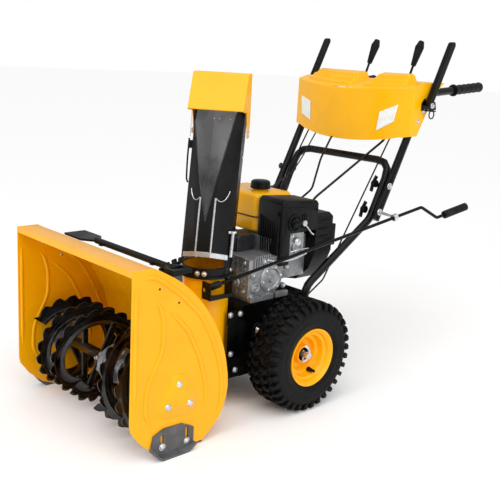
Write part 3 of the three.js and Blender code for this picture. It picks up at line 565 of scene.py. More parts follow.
def build_housing():
    bead = sizes().bead / MM
    for side, word in HANDS:
        finished(f"side_plate_{word}", yellow_coat())

        @detail(f"side_plate_beads_{word}", yellow_coat(), sharp=50)
        def beads(bm):
            face = PLATE - 0.4
            press_beads(bm, PLATE_BEADS, side * face, bead / 2, 14, 0.8)
            bearing_boss(bm, side, face)

        @detail(f"side_plate_inner_beads_{word}", yellow_coat(), sharp=50)
        def inner_beads(bm):
            press_beads(bm, PLATE_BEADS[:3], side * (PLATE - PLATE_SHEET), bead / 2.4, 10, 0.3)

        for name, spots, level, out, radius, height, look in (
            # Painted shade: dark domes on the outer face for the shadow in the plate's holes.
            ("side_plate_hole_shadows", PLATE_HOLES, 0, 1, 3.2, 0.5, dark_opening()),
            ("side_plate_rivets", PLATE_HOLES, -PLATE_SHEET, -1, 5, 2, zinc_plate()),
            ("bearing_bolts", CARRIAGE_BOLTS, 3, 1, 9.5, 3.6, zinc_plate()),
        ):
            @detail(f"{name}_{word}", look)
            def domes(bm):
                for y, z in spots:
                    dome(bm, at(side * (PLATE + level), y, z), X * side * out, radius, height)

        finished(f"auger_bearing_{word}", cast_aluminium(), 1.5)
        finished(f"skid_{word}", skid_coat(), 1.2)

        @fittings(f"skid_bolts_{word}")
        def skid_bolts(bm):
            for y, z in SKID_BOLTS:
                base = at(side * (PLATE + 5.2), y, z)
                rod(bm, base, X * side, 0, 1.8, 10, 9.5, 24)
                dome(bm, base + X * side * 1.6 * MM, X * side, 7.5, 4)

    finished("housing_shell", yellow_coat())
    finished("impeller_drum", yellow_coat(), 0.6, sharp=30)
    finished("scraper_bar", dark_steel())

    @fittings("scraper_bolts")
    def scraper_bolts(bm):
        for x in SCRAPER_BOLTS:
            dome(bm, at(x, -408, 5), Z, 7, 2.4)

    @fittings("drum_rivets")
    def drum_rivets(bm):
        for degrees in range(15, 175, 32):
            way = spoke(degrees, X)
            dome(bm, at(*DRUM_MIDDLE) + way * DRUM_RADIUS * MM, way, 5, 1.6)


# ---- augers --------------------------------------------------------------------------------------
FLIGHT_START, FLIGHT_END, FLIGHT_TURNS, FLIGHT_BEGIN = 62, 262, 1.3, (0.1, 0.6)
RIBBON_SHEET = 3.2
RIBBON = ((90, 0), (94, 0.6), (98, 4.4), (102, 5.8), (116, 5.8), (120, 4.4), (125, 0.6), (138, 0))
TOOTH = (0, -0.5, -1.5, -3.5, -6.5, -11, -12, -5)


def flight(bm, start_turn):
    """One pressed ribbon with teeth cut in its outer edge, spun up the shaft."""
    steps = sizes().teeth * len(TOOTH)
    out = spoke(start_turn * 360)
    base = AUGER + X * FLIGHT_START * MM
    verts = [bm.verts.new(base + X * lift * MM + out * radius * MM) for radius, lift in RIBBON]
    edges = [bm.edges.new(pair) for pair in zip(verts, verts[1:])]
    rise = X * (FLIGHT_END - FLIGHT_START) * MM / steps
    bmesh.ops.spin(bm, geom=verts + edges, cent=base, axis=X, angle=FLIGHT_TURNS * math.tau,
                   steps=steps, dvec=rise)
    bm.verts.ensure_lookup_table()
    edge_radius = RIBBON[-1][0] * MM
    for v in bm.verts:
        arm = Vector((0, v.co.y - AUGER.y, v.co.z - AUGER.z))
        if abs(arm.length - edge_radius) < 1e-5:
            step = round((v.co.x - base.x) / rise.x)
            v.co += arm.normalized() * TOOTH[step % len(TOOTH)] * MM


def build_augers():
    reach = FLIGHT_END - FLIGHT_START
    for side, word in HANDS:
        bm = bmesh.new()
        for start_turn in FLIGHT_BEGIN:
            ribbon = bmesh.new()
            flight(ribbon, start_turn)
            bmesh.ops.recalc_face_normals(ribbon, faces=ribbon.faces)
            bmesh.ops.solidify(ribbon, geom=list(ribbon.faces), thickness=RIBBON_SHEET * MM)
            join(bm, ribbon)
            for share in (0.06, 0.5, 0.94):
                out = spoke((start_turn + FLIGHT_TURNS * share) * 360)
                foot = AUGER + X * (FLIGHT_START + reach * share + 1.5) * MM
                swept(bm, [foot + out * 12 * MM, foot + out * 100 * MM], 11, 14, squash=(X, 0.45))
        rod(bm, AUGER, X, 52, 266, 16, None, 28)
        rod(bm, AUGER, X, 53, 63, 19, None, 28)
        if side < 0:
            bmesh.ops.scale(bm, verts=bm.verts, vec=(-1, 1, 1), space=Matrix.Translation(-AUGER))
        piece(f"auger_{word}_ribbons", bm, auger_coat(), "augers",
              (f"auger_{word}",), edge=0.5 * MM)
    finished("auger_shaft", zinc_plate(), 1)

    @fittings("shear_bolts", "augers")
    def shear_bolts(bm):
        for side in SIDES:
            for along in (70, 240):
                spot = AUGER + X * side * along * MM
                rod(bm, spot, Y, -26, 26, 4, None, 12)
                for hand in SIDES:
                    head(bm, spot + Y * hand * 17 * MM, Y * hand, 11, 5, washer=False)

    finished("auger_gearbox", cast_aluminium(), 3)
    lugs = [AUGER + spoke(degrees + 20) * 41 * MM for degrees in range(0, 360, 60)]

    @detail("gearbox_lugs", cast_aluminium(), edge=1 * MM)
    def gearbox_lugs(bm):
        for lug in lugs:
            rod(bm, lug, X, -30, 30, 8, None, 18)
        turned(bm, [(-4, 0), (-4, 53), (4, 53), (4, 0)], AUGER, X, 40)

    @fittings("gearbox_bolts")
    def gearbox_bolts(bm):
        for lug in lugs:
            for side in SIDES:
                head(bm, lug + X * side * 30 * MM, X * side, 10, 4, washer=False)

    finished("impeller", black_coat(), 1)
    finished("impeller_shaft", zinc_plate(), 0.5)


# ---- wheels --------------------------------------------------------------------------------------
TYRE = ((-50, 88), (-54, 92), (-55.5, 100), (-57, 103), (-57.6, 112), (-56.6, 116),
        (-57.8, 121), (-57.8, 132), (-55.5, 140), (-50, 147), (-40, 152), (0, 154), (40, 152),
        (50, 147), (55.5, 140), (57.8, 132), (57.8, 121), (56.6, 116), (57.6, 112), (57, 103),
        (55.5, 100), (54, 92), (50, 88), (46, 77), (-46, 77), (-50, 88))
RIM_OUT = ((54.6, 86.6), (55, 84), (53, 80.5), (49, 78), (46, 74.5), (40, 73), (37.5, 71),
           (36, 64.5), (33.5, 63), (20, 61), (17.5, 59), (16, 51), (13.5, 49), (5, 47), (1, 43),
           (-1, 31), (2, 27), (16, 25.5), (19, 24), (19, 21), (2, 20.5), (2, 10.6))
RIM_IN = ((54.6, 86.6), (54.6, 83), (50, 78), (44, 73), (10, 56), (10, 24), (20, 22), (20, 10.6))
RIM_BARREL = ((50, 86.6), (43, 76), (-43, 76), (-50, 86.6))
LUGS = (((57.5, -7.5), (57.5, 7.5), (46, 9), (37, 8), (37, -6), (46, -5)),
        ((32, -12), (32, 1), (25, 10), (15, 13), (9, 6), (3, 6), (3, -6), (11, -7), (17, 0),
         (24, -3)))
LUG_TAPER, LUG_ROOT, LUG_EDGE = 0.86, 5, 1.2
SHOULDER_START, SHOULDER_WIDTH, SHOULDER_DROP = 38, 18, 7


def lug_height(across):
    """The tread's radius at a distance from the tyre's middle line."""
    edge = max(0, abs(across) - SHOULDER_START) / SHOULDER_WIDTH
    return WHEEL_RADIUS / MM - 0.4 - SHOULDER_DROP * edge * edge


def wheel(bm, centre):
    """A tyre's carcass with its lugs: two rows a side, each half a pitch on from the last."""
    turned(bm, TYRE, centre, X, 96)
    pitches = sizes().lugs
    pitch = math.tau / pitches
    depth = sizes().tread / MM
    for hand, row in ((hand, row) for hand in SIDES for row in (0, 1)):
        shape = bmesh.new()
        flat = [Vector((hand * across * MM, arc * MM, 0)) for across, arc in LUGS[row]]
        flat_shape(shape, flat, Vector((0, 0, depth * MM)), taper=LUG_TAPER)
        bmesh.ops.recalc_face_normals(shape, faces=shape.faces)
        rounded(shape, list(shape.edges), LUG_EDGE, 1)
        for v in shape.verts:
            across, arc, rise = v.co / MM
            radius = lug_height(across) - depth - LUG_ROOT * (rise < depth * 0.3) + rise
            angle = arc / (WHEEL_RADIUS / MM) + pitch / 2 * ((hand > 0) != row)
            back, up = -radius * math.sin(angle), radius * math.cos(angle)
            v.co = centre + Vector((across, back, up)) * MM
        geometry = list(shape.verts) + list(shape.edges) + list(shape.faces)
        bmesh.ops.spin(shape, geom=geometry, cent=centre, axis=X,
                       angle=math.tau - pitch, steps=pitches - 1, use_duplicate=True)
        bmesh.ops.recalc_face_normals(shape, faces=shape.faces)
        join(bm, shape)


def build_wheels():
    finished("wheel_axle", zinc_plate(), 0.5)
    for side, word in HANDS:
        low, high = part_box(f"tyre_{word}")
        centre = Vector(((low.x + high.x) / 2, AXLE.y, AXLE.z))
        bm = bmesh.new()
        wheel(bm, centre)
        piece(f"tyre_{word}_tread", bm, tyre_rubber(), "wheels", (f"tyre_{word}",))
        bm = bmesh.new()
        profile = [*RIM_OUT, *((-a, r) for a, r in RIM_IN[::-1]), *RIM_BARREL[::-1], RIM_OUT[0]]
        turned(bm, [(a * side, r) for a, r in profile], centre, X, 72)
        piece(f"rim_{word}_disc", bm, yellow_coat(), "wheels", (f"rim_{word}",),
              sharp=34, edge=0.7 * MM)

        @fittings(f"hub_pin_{word}", "wheels")
        def hub_pin(bm):
            outer = centre + X * side * 16 * MM
            rod(bm, outer, Z, 12, -22, 3.2, None, 12)
            rod(bm, outer, Z, -18, -27, 6, 5, 6)
            hoop = ((0, 0, -22), (6, 8, -20), (9, 15, -8), (9, 17, 6), (6, 13, 18), (0, 6, 23))
            path = [outer + Vector((side * out, back, up)) * MM for out, back, up in hoop]
            swept(bm, flowing(path), 4.6, 12, squash=(X, 0.45))

        # Painted shade: a dark lining and disc for the shadow in the hub's bore.
        @detail(f"hub_bore_shadow_{word}", dark_opening(), "wheels")
        def hub_bore_shadow(bm):
            turned(bm, [(1.5, 20.6), (15, 20.6), (15, 19.6), (3, 18), (3, 10.2), (1.5, 10.2),
                        (1.5, 20.6)], centre, X * side, 32)
            rod(bm, centre, X * side, 2, 5, 14, 13, 6)

        @detail(f"tyre_valve_{word}", grip_rubber(), "wheels")
        def valve(bm):
            foot = centre + Vector((side * 20, 22, -50)) * MM
            rod(bm, foot, X * side, 0, 14, 7, 5, 14)
            rod(bm, foot, X * side, 13, 25, 4.6, 4.2, 14)


# ---- chute ---------------------------------------------------------------------------------------
def inward(bm, axis_y, depth):
    """Gives the second finish to the faces that look towards a line up the chute."""
    for face in bm.faces:
        centre = face.calc_center_median()
        height = centre.z / MM - RING_TOP
        axis = on_chute(0, axis_y, height)
        if face.normal.dot(axis - centre) > depth:
            face.material_index = 1


CHUTE_FRONT, FOLD, MOUTH_START = -69, 21, 130
RING_RADIUS, BAND_HEIGHT, PIVOT_HEIGHT = 69.8, 14, 365


def build_chute():
    finished("chute_ring", [black_coat(), yellow_coat()], 0.8, sharp=30,
             extra=lambda bm: inward(bm, 0, 0.03))
    # The chute's outer faces are black; its inner faces take the light grey painted sheen.
    finished("chute", [black_coat(), chute_painted_sheen()], 0.5,
             extra=lambda bm: inward(bm, 0, 0.02))
    # Painted shade: the deflector's inner faces take the black coat, for the shadow under its hood.
    finished("deflector", [yellow_coat(), black_coat()], 0.6,
             extra=lambda bm: inward(bm, -20, 0.012))
    forward = chute_way(0, -1)

    @fittings("chute_corner_strips", "chute_turret")
    def strips(bm):
        for hand in SIDES:
            ends = [on_chute(hand * FOLD, CHUTE_FRONT - 0.8, height) for height in (46, 195)]
            swept(bm, ends, 2.5, 8)

    # Painted highlight: thin grey steel strips along the mouth's edges, for the light these sheet
    # edges catch.
    @detail("chute_mouth_painted_highlights", dark_steel(), "chute_turret")
    def edges(bm):
        for top in (66, -62):
            path = []
            for step in range(25):
                height = MOUTH_START + 12 * step
                x = 2 + (top - 2) * 12 * step / 300 - CHUTE_LEAN[0] * height
                if abs(x) > 68:
                    break
                depth = CHUTE_FRONT + max(0, abs(x) - FOLD) / 48 * 45
                path.append(on_chute(x, depth + 1, height))
            swept(bm, path, 1.5, 8)

    @fittings("chute_band", "chute_turret", edge=0.5 * MM)
    def band(bm):
        corners = ((-64, -30, 20), (-21.5, -71, 33), (21.5, -71, 33), (64, -30, 20))
        rails = []
        for lift in (0, BAND_HEIGHT):
            verts = [bm.verts.new(on_chute(x, y, height + lift)) for x, y, height in corners]
            rails += [bm.edges.new(pair) for pair in zip(verts, verts[1:])]
        bmesh.ops.bridge_loops(bm, edges=rails)
        bmesh.ops.recalc_face_normals(bm, faces=bm.faces)
        bmesh.ops.solidify(bm, geom=list(bm.faces), thickness=2 * MM)

    @fittings("chute_wires", "chute_turret")
    def wires(bm):
        for hand in SIDES:
            points = ((22, -71.5, 195), (32, -64.5, 186), (43, -55.5, 188), (51, -47.5, 201),
                      (54, -43.5, 212))
            swept(bm, flowing([on_chute(hand * x, y, h) for x, y, h in points]), 1.2, 6)

    @fittings("chute_rivets", "chute_turret")
    def rivets(bm):
        for x in (-33, -17, 16, 32):
            dome(bm, on_chute(x, 66, 396), forward, 3.6, 1.8)
        for x, height in ((70.5, 300), (-70.5, 300), (70.5, 60), (-70.5, 60)):
            dome(bm, on_chute(x, 0, height), chute_way(x, 0), 4, 1.8)

    @fittings("deflector_bolts", "deflector_hood")
    def pivots(bm):
        for hand in SIDES:
            spot = on_chute(hand * 76.3, 0, PIVOT_HEIGHT)
            head(bm, spot, chute_way(hand, 0), 11, 5)

    @fittings("chute_guide_rod", "chute_turret")
    def guide(bm):
        low, high = on_chute(72, -30, 30), on_chute(72, -30, 96)
        bar(bm, low, high, 4.6, None, 14)
        rod(bm, high, Z, 0, 5, 8, 7, 18)
        bar(bm, on_chute(60, -34, 98), on_chute(80, -28, 98), 4, None, 12)

    @detail("deflector_cable_bracket", black_coat(), "chute_turret", edge=0.4 * MM)
    def bracket(bm):
        base = [on_chute(-70, 6, 318), on_chute(-70, -22, 318), on_chute(-70, -22, 340),
                on_chute(-70, 6, 336)]
        flat_shape(bm, base, chute_way(-1, 0) * 9 * MM)
        swept(bm, bent([on_chute(-80, -18, 345), on_chute(-80, -18, 290), on_chute(-78, -14, 232),
                        on_chute(-76, -4, 222)], 20), 2.6, 8)

    @fittings("deflector_cable", "deflector_hood")
    def wire(bm):
        swept(bm, [on_chute(-78.5, -16, 349), on_chute(-78.5, -30, 452)], 1.0, 6)
        head(bm, on_chute(-76.5, -30, 452), chute_way(-1, 0), 8, 4)

    @fittings("chute_ring_bolts", "chute_turret")
    def ring_bolts(bm):
        centre = Vector((RING.x, RING.y, (RING_TOP - 14) * MM))
        for degrees in (-98, -82, 0, 90, 180):
            way = chute_way(*spoke(degrees, X, Y))
            head(bm, centre + way * RING_RADIUS * MM, way, 9, 3.5)


# ---- tractor frame and drive ---------------------------------------------------------------------
FRAME_BOLTS = ((-197, 290), (-160, 288), (-190, 172), (-170, 120), (60, 128), (-60, 128))
BEARING_CUPS = ((0, 165, 24), (-88, 227, 23))


def build_frame():
    for node in ("tractor_frame", "bottom_cover", "belt_cover", "worm_bracket"):
        finished(node, black_coat())
    for node in ("impeller_pulley", "drive_disc", "crank_pulley"):
        finished(node, dark_steel(), 0.5)
    for node in ("auger_belt", "traction_belt", "friction_wheel"):
        finished(node, belt_rubber(), 0.5)
    finished("hex_shaft", zinc_plate(), 0.3)

    @fittings("frame_bolts")
    def bolts(bm):
        for side in SIDES:
            for y, z in FRAME_BOLTS:
                head(bm, at(side * FRAME_SIDE, y, z), X * side, 11, 4.5)

    @detail("shaft_bearing_cups", black_coat(), edge=1 * MM)
    def cups(bm):
        for side in SIDES:
            for y, z, radius in BEARING_CUPS:
                centre = at(side * FRAME_SIDE, y, z)
                rim = [(0, radius), (3, radius), (5, radius - 3), (5, 13), (0, 13), (0, radius)]
                turned(bm, rim, centre, X * side, 32)


# ---- engine --------------------------------------------------------------------------------------
HEATER_FACE, HEATER_FRONT = 172, -12.5
CHOKE_PLACE = (38, 532)
TANK_SEAM = 533
RECOIL_AXIS = (12, 418)
CRANK_COVER = (-36, 372)
CASE_BOSSES = ((-112, 392), (-70, 428), (14, 344), (24, 400))


def build_engine():
    for node, look, edge in (
        ("engine_crankcase", cast_aluminium(), 3), ("heater_box", black_plastic(), 3),
        ("carburettor", cast_aluminium(), 2), ("muffler", dark_steel(), 3),
        ("fuel_tank", yellow_plastic(), 4), ("fuel_cap", black_plastic(), 2.5),
        ("recoil_cover", black_plastic(), 4), ("recoil_handle", black_plastic(), 3),
        ("choke_knob", black_plastic(), 1.5), ("throttle_lever", zinc_plate(), 0.5),
    ):
        finished(node, look, edge)

    @detail("muffler_guard", dark_steel(), edge=0.6 * MM)
    def guard(bm):
        for i in range(9):
            block(bm, (-54 + i * 13, -89, 442), (-47 + i * 13, -85, 479))
        for x in (-54, 48):
            rod(bm, at(x, -80, 484), Z, 0, 4, 6, 5, 6)

    @detail("tank_seam", black_plastic(), edge=0.6 * MM)
    def seam(bm):
        corners = ((-151, -6), (-146, -13.5), (50, -13.5), (59, -4), (59, 136), (50, 143),
                   (-146, 143), (-151, 136))
        path = [at(x, y, TANK_SEAM) for x, y in corners]
        swept(bm, path + [path[0]], 1.6, 8, squash=(Z, 1.2))

    @detail("heater_louvres", black_plastic(), edge=0.5 * MM)
    def louvres(bm):
        for i in range(6):
            x = 78 + i * 10
            swept(bm, [at(x, HEATER_FRONT, 548 - i * 3), at(x + 9, HEATER_FRONT, 440)], 2.2, 8)
        swept(bm, [at(155, HEATER_FRONT, 556), at(155, HEATER_FRONT, 436)], 6, 12, squash=(Y, 0.7))
        swept(bm, [at(150, HEATER_FRONT, 562), at(157, HEATER_FRONT, 562)], 5, 12)

    @detail("heater_side_frame", black_plastic(), edge=1 * MM)
    def side_frame(bm):
        frame_line = ((4, 504), (4, 570), (14, 578), (128, 572), (134, 562))
        swept(bm, bent([at(HEATER_FACE, y, z) for y, z in frame_line], 10), 2.6, 8)
        ring = [(0, 27), (4, 26), (4, 22), (0, 21), (0, 27)]
        turned(bm, ring, at(HEATER_FACE, *CHOKE_PLACE), X, 40)
        for y in (70, 78, 86):
            block(bm, (171.5, y, 512), (174, y + 3, 556))

    # Painted shade: flat dark shapes on the heater's side for the shadow in the choke's and the
    # side recesses.
    @detail("heater_recess_shadows", dark_opening())
    def recess_shadows(bm):
        rod(bm, at(HEATER_FACE, *CHOKE_PLACE), X, -0.2, 0.3, 21, None, 32)
        outline = ((104, 508), (104, 556), (110, 564), (126, 562), (130, 554), (130, 508))
        flat_shape(bm, [at(HEATER_FACE, y, z) for y, z in outline], X * 0.4 * MM)

    @detail("recoil_ribs", black_plastic())
    def ribs(bm):
        for z in (452, 476, 500, 524):
            path = [at(164.5, 146, z), at(165, 190, z), at(159, 222, z - 3),
                    at(60, 224, z - 14), at(12, 224, z - 20)]
            swept(bm, bent(path, 16), 4, 8, taper=2)

    @detail("recoil_grille", black_plastic(), edge=0.6 * MM)
    def grille(bm):
        centre = at(RECOIL_AXIS[0], 0, RECOIL_AXIS[1])
        centre.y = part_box("recoil_cover")[1].y - 1 * MM
        for radius in (26, 84):
            ring = [(0, radius), (2.4, radius - 1), (2.4, radius - 7), (0, radius - 8), (0, radius)]
            turned(bm, ring, centre, Y, 48)
        for degrees in range(0, 360, 15):
            way = spoke(degrees, X)
            swept(bm, [centre + way * 24 * MM, centre + way * 79 * MM], 2.6, 8)

    @fittings("cover_screws")
    def cover_screws(bm):
        for x, z in ((-150, 128), (150, 128), (-150, 286), (150, 286), (0, 286)):
            head(bm, at(x, 110, z), Y, 10, 4)

    @detail("engine_fins", cast_aluminium(), edge=0.8 * MM)
    def fins(bm):
        for i in range(7):
            z = 346 + i * 15
            block(bm, (20, -128, z), (146, -122, z + 5))
        for i in range(6):
            x = 24 + i * 21
            block(bm, (x, -126, 330), (x + 5, -121.5, 438))
        for i in range(8):
            y = -106 + i * 9
            block(bm, (158, y, 404), (166 - i * 0.6, y + 3, 446))
        for low_y, high_y in ((-122, -86), (-80, -30), (-20, 30)):
            block(bm, (156, low_y, 311.5), (171, high_y, 328))

    @detail("engine_covers", cast_aluminium(), edge=1.2 * MM)
    def covers(bm):
        rim = [(0, 44), (5, 43), (7, 39), (7, 30), (4, 27), (4, 12), (9, 10), (9, 0), (0, 0),
               (0, 44)]
        turned(bm, rim, at(159.5, *CRANK_COVER), X, 48)
        plug = [(0, 17), (7, 16), (8, 14), (8, 10), (5.5, 9), (5.5, 6), (8, 5), (8, 0), (0, 0),
                (0, 17)]
        turned(bm, plug, at(159.5, -98, 352), X, 32)
        rod(bm, at(110, -124, 362), -Y, 0, 8, 17, 15, 28)
        rod(bm, at(110, -124, 362), -Y, 8, 12, 8, None, 6)
        rod(bm, at(60, -124, 412), -Y, 0, 7, 22, 20, 32)
        for y, z in CASE_BOSSES:
            rod(bm, at(158, y, z), X, 0, 9, 9, 8, 20)

    @fittings("engine_bolts")
    def bolts(bm):
        for x, z in ((24, 340), (140, 340), (24, 425), (140, 425)):
            head(bm, at(x, -125, z), -Y, 9, 4)
        for x, y in ((2, -110), (158, -110), (158, -44)):
            head(bm, at(x, y, 327), Z, 10, 5)
        for y, z in ((44, 490), (84, 432)):
            head(bm, at(160, y, z), X, 8, 4)
        for degrees in range(12, 372, 60):
            head(bm, at(166, *CRANK_COVER) + spoke(degrees) * 35 * MM, X, 8, 4, washer=False)
        for y, z in CASE_BOSSES:
            head(bm, at(167, y, z), X, 8, 4, washer=False)

    @fittings("carburettor_link")
    def link(bm):
        path = [at(166, -62, 432), at(178, -30, 424), at(180, 40, 426), at(176, 92, 436)]
        swept(bm, bent(path, 12), 4.2, 12)
        swept(bm, bent([at(170, 30, 444), at(180, 60, 452), at(178, 100, 450)], 10), 1.8, 8)
        dome(bm, at(166, 64, 470), X, 15, 8)
        rod(bm, at(150, 64, 498), Z, 0, 8, 9, 8, 20)
        rod(bm, at(166, 84, 441), X, 0, 16, 7, 6, 18)


# ---- handles and controls ------------------------------------------------------------------------
HUMPS = ((-212, 18), (62, 212))
PANEL_BOW, PANEL_HALF = 55, 250
LEVER_X, LEVER_WIDEN = 254.2, 1.45
LEVER_EARS = ((250.6, 253.4), (278, 280.8))
GRIP_TIP = (850.8, 939.2)
REFLECTORS = (((-215, 878), (-153, 862), (-147, 798), (-207, 816)),
              ((149, 852), (207, 879), (197, 824), (142, 790)))
SHIFT_RODS = ((((135, 530, 850), (120, 500, 760), (60, 232, 568), (60, 120, 330)), 20, 4),
              (((-50, 530, 850), (-30, 400, 752), (20, 300, 690), (50, 236, 600), (58, 150, 560)),
               14, 3.4))
DEFLECTOR_CABLE = ((-126, 430, 760), (-120, 330, 640), (-100, 212, 590), (-60, 160, 560))
HUMP_STEPS = ((421, 923), (425, 936), (446, 941), (450, 951), (473, 956), (477, 966), (514, 974),
              (522, 968), (522, 944))


def soften_panel(bm):
    """Rounds the panel's long front edge and its two upright corners, as a moulding comes out."""
    soft = []
    for edge in bm.edges:
        if len(edge.link_faces) != 2 or min(v.co.y for v in edge.verts) > ORIGIN.y + 470 * MM:
            continue
        a, b = (face.normal for face in edge.link_faces)
        top = max(a.z, b.z) > 0.7 and min(a.y, b.y) < -0.6
        corner = max(abs(a.x), abs(b.x)) > 0.99 and min(a.y, b.y) < -0.6
        if edge.is_convex and (top or corner):
            soft.append(edge)
    rounded(bm, soft, 7, 4)


def build_handles():
    finished("handle_loop", black_coat(), 0.0, sharp=50)
    for side, word in HANDS:
        finished(f"handlebar_{word}", black_coat(), 0.0, sharp=50)
        inner = Matrix.Translation(-at(side * LEVER_X, 0, 0))
        finished(f"clutch_lever_{word}", black_coat(), 5, extra=lambda bm: bmesh.ops.scale(
            bm, verts=bm.verts, vec=(LEVER_WIDEN, 1, 1), space=inner))
        finished(f"clutch_cable_{word}", black_plastic(), 0, sharp=60)
    for _, word in HANDS:
        tip = at(0, *GRIP_TIP)
        tip.x = middle(f"grip_{word}").x
        run = Vector((0, 848 - 536, 939 - 914)).normalized()
        bm = bmesh.new()
        profile = [(-161, 12.9), (-161, 19), (-157, 20), (-154, 17.2)]
        for start in range(-148, -8, 28):
            profile += [(start, 16.6), (start + 9, 15.4), (start + 18, 15.4), (start + 25, 16.6)]
        profile += [(-6, 17), (-2, 16), (0, 12), (0, 0), (-3, 0), (-3, 12.9), (-161, 12.9)]
        turned(bm, profile, tip, run, 32)
        piece(f"grip_{word}_waves", bm, grip_rubber(), "root", (f"grip_{word}",))

    @detail("wing_knobs", black_plastic(), edge=1 * MM)
    def knobs(bm):
        for side in SIDES:
            for y, z in ((384, 628), (341, 549)):
                spot = at(side * 190, y, z)
                out = -X * side
                rod(bm, spot, out, 0, 16, 12, 9, 20)
                wing = Vector((0, 0.43, 0.9)).normalized()
                ends = [spot + out * 10 * MM + wing * reach * MM for reach in (-26, 26)]
                swept(bm, [ends[0], spot + out * 14 * MM, ends[1]], 8, 12, squash=(X, 0.5))

    @fittings("handle_bolts")
    def bolts(bm):
        for side in SIDES:
            for y, z in ((384, 628), (346, 549)):
                head(bm, at(side * 242.4, y, z), X * side, 13, 5)
            for y, z in ((88, 292), (86, 236)):
                head(bm, at(side * 197, y, z), X * side, 12, 5)

    finished("control_panel", yellow_plastic(), 1.2, sharp=30, extra=soften_panel)
    finished("speed_lever", black_plastic(), 1)
    finished("deflector_lever", black_plastic(), 1)

    def hood(x, z):
        return at(x, 399.4 + PANEL_BOW * (x / PANEL_HALF) ** 2, z)

    @detail("reflectors", reflector_lens(), edge=0.8 * MM)
    def lenses(bm):
        for shape in REFLECTORS:
            flat_shape(bm, [hood(x, z) for x, z in shape], Vector((0, -2.6 * MM, 0)), 0.96)

    @detail("panel_humps", yellow_plastic(), sharp=30, edge=2.5 * MM)
    def humps(bm):
        for low_x, high_x in HUMPS:
            flat_shape(bm, [at(low_x, y, z) for y, z in HUMP_STEPS], X * (high_x - low_x) * MM)
        long = [e for e in bm.edges if abs(e.verts[0].co.x - e.verts[1].co.x) > 0.05]
        bmesh.ops.subdivide_edges(bm, edges=long, cuts=7)
        for v in bm.verts:
            x, y, z = (v.co - ORIGIN) / MM
            low_x, high_x = HUMPS[x > 40]
            rise = max(0, z - 924 - (y - 412) * 24 / 88)
            share = (2 * x - low_x - high_x) / (high_x - low_x)
            back = PANEL_BOW * (x / PANEL_HALF) ** 2 * (522 - y) / 101
            v.co += Vector((-rise * 0.9 * share, back, back * 24 / 88)) * MM

    @detail("lever_brackets", black_coat(), edge=0.6 * MM)
    def brackets(bm):
        for side in SIDES:
            for low_x, high_x in LEVER_EARS:
                outline = [(498, 862), (536, 868), (528, 892), (504, 896), (496, 884)]
                flat_shape(bm, [at(side * low_x, y, z) for y, z in outline],
                           X * side * (high_x - low_x) * MM)
            block(bm, (side * 265.7 - 15, 520, 861), (side * 265.7 + 15, 536, 865))
            hoop = [at(side * 262, 540, 851) + spoke(turn * 22.5) * 13 * MM for turn in range(17)]
            swept(bm, hoop, 2.2, 8)

    @fittings("lever_pivot_bolts")
    def pivot_bolts(bm):
        for side in SIDES:
            head(bm, at(side * LEVER_EARS[1][1], 513, 880), X * side, 11, 5)

    @fittings("panel_screws")
    def screws(bm):
        for side in SIDES:
            for y, z in ((510, 862), (489, 828)):
                head(bm, at(side * PANEL_HALF, y, z), X * side, 9, 4)

    finished("crank_rod", black_coat(), 0, sharp=50)
    finished("crank_grip", grip_rubber(), 1.5)
    finished("crank_bracket", zinc_plate(), 0.6)
    finished("cleanout_tool", black_plastic(), 1.5)

    @detail("tool_clips", black_coat(), edge=0.5 * MM)
    def clips(bm):
        for x in (-90, 150):
            block(bm, (x - 7, -462, 468), (x + 7, -436, 471))

    @detail("shift_rods", black_coat())
    def rods(bm):
        for corners, bend, radius in SHIFT_RODS:
            swept(bm, bent([at(*corner) for corner in corners], bend), radius, 10)
        swept(bm, flowing([at(*point) for point in DEFLECTOR_CABLE]), 2.2, 8)


# ---- stage ---------------------------------------------------------------------------------------
CAMERA_AT = (1.73396, -1.77517, 1.006)
CAMERA_TURN, CAMERA_DIP, CAMERA_ROLL = (math.radians(v) for v in (46.58, 13.59, 3.17))
CAMERA_LENS, CAMERA_SENSOR = 58.13, 36
FLOOR_HALF = 30
TARGET = Vector((0, 0, 0.45))
WORLD_LIT, WORLD_SEEN = 0.6, 1.0
LIGHTS = (
    ("sky panel", "SUN", (1.3, -1.0, 3.0), 1.0, 1.5),
    ("key", "AREA", (0.4, -3.4, 2.2), 1.4, 26),
    ("fill", "AREA", (3.6, -0.2, 1.5), 1.4, 22),
)


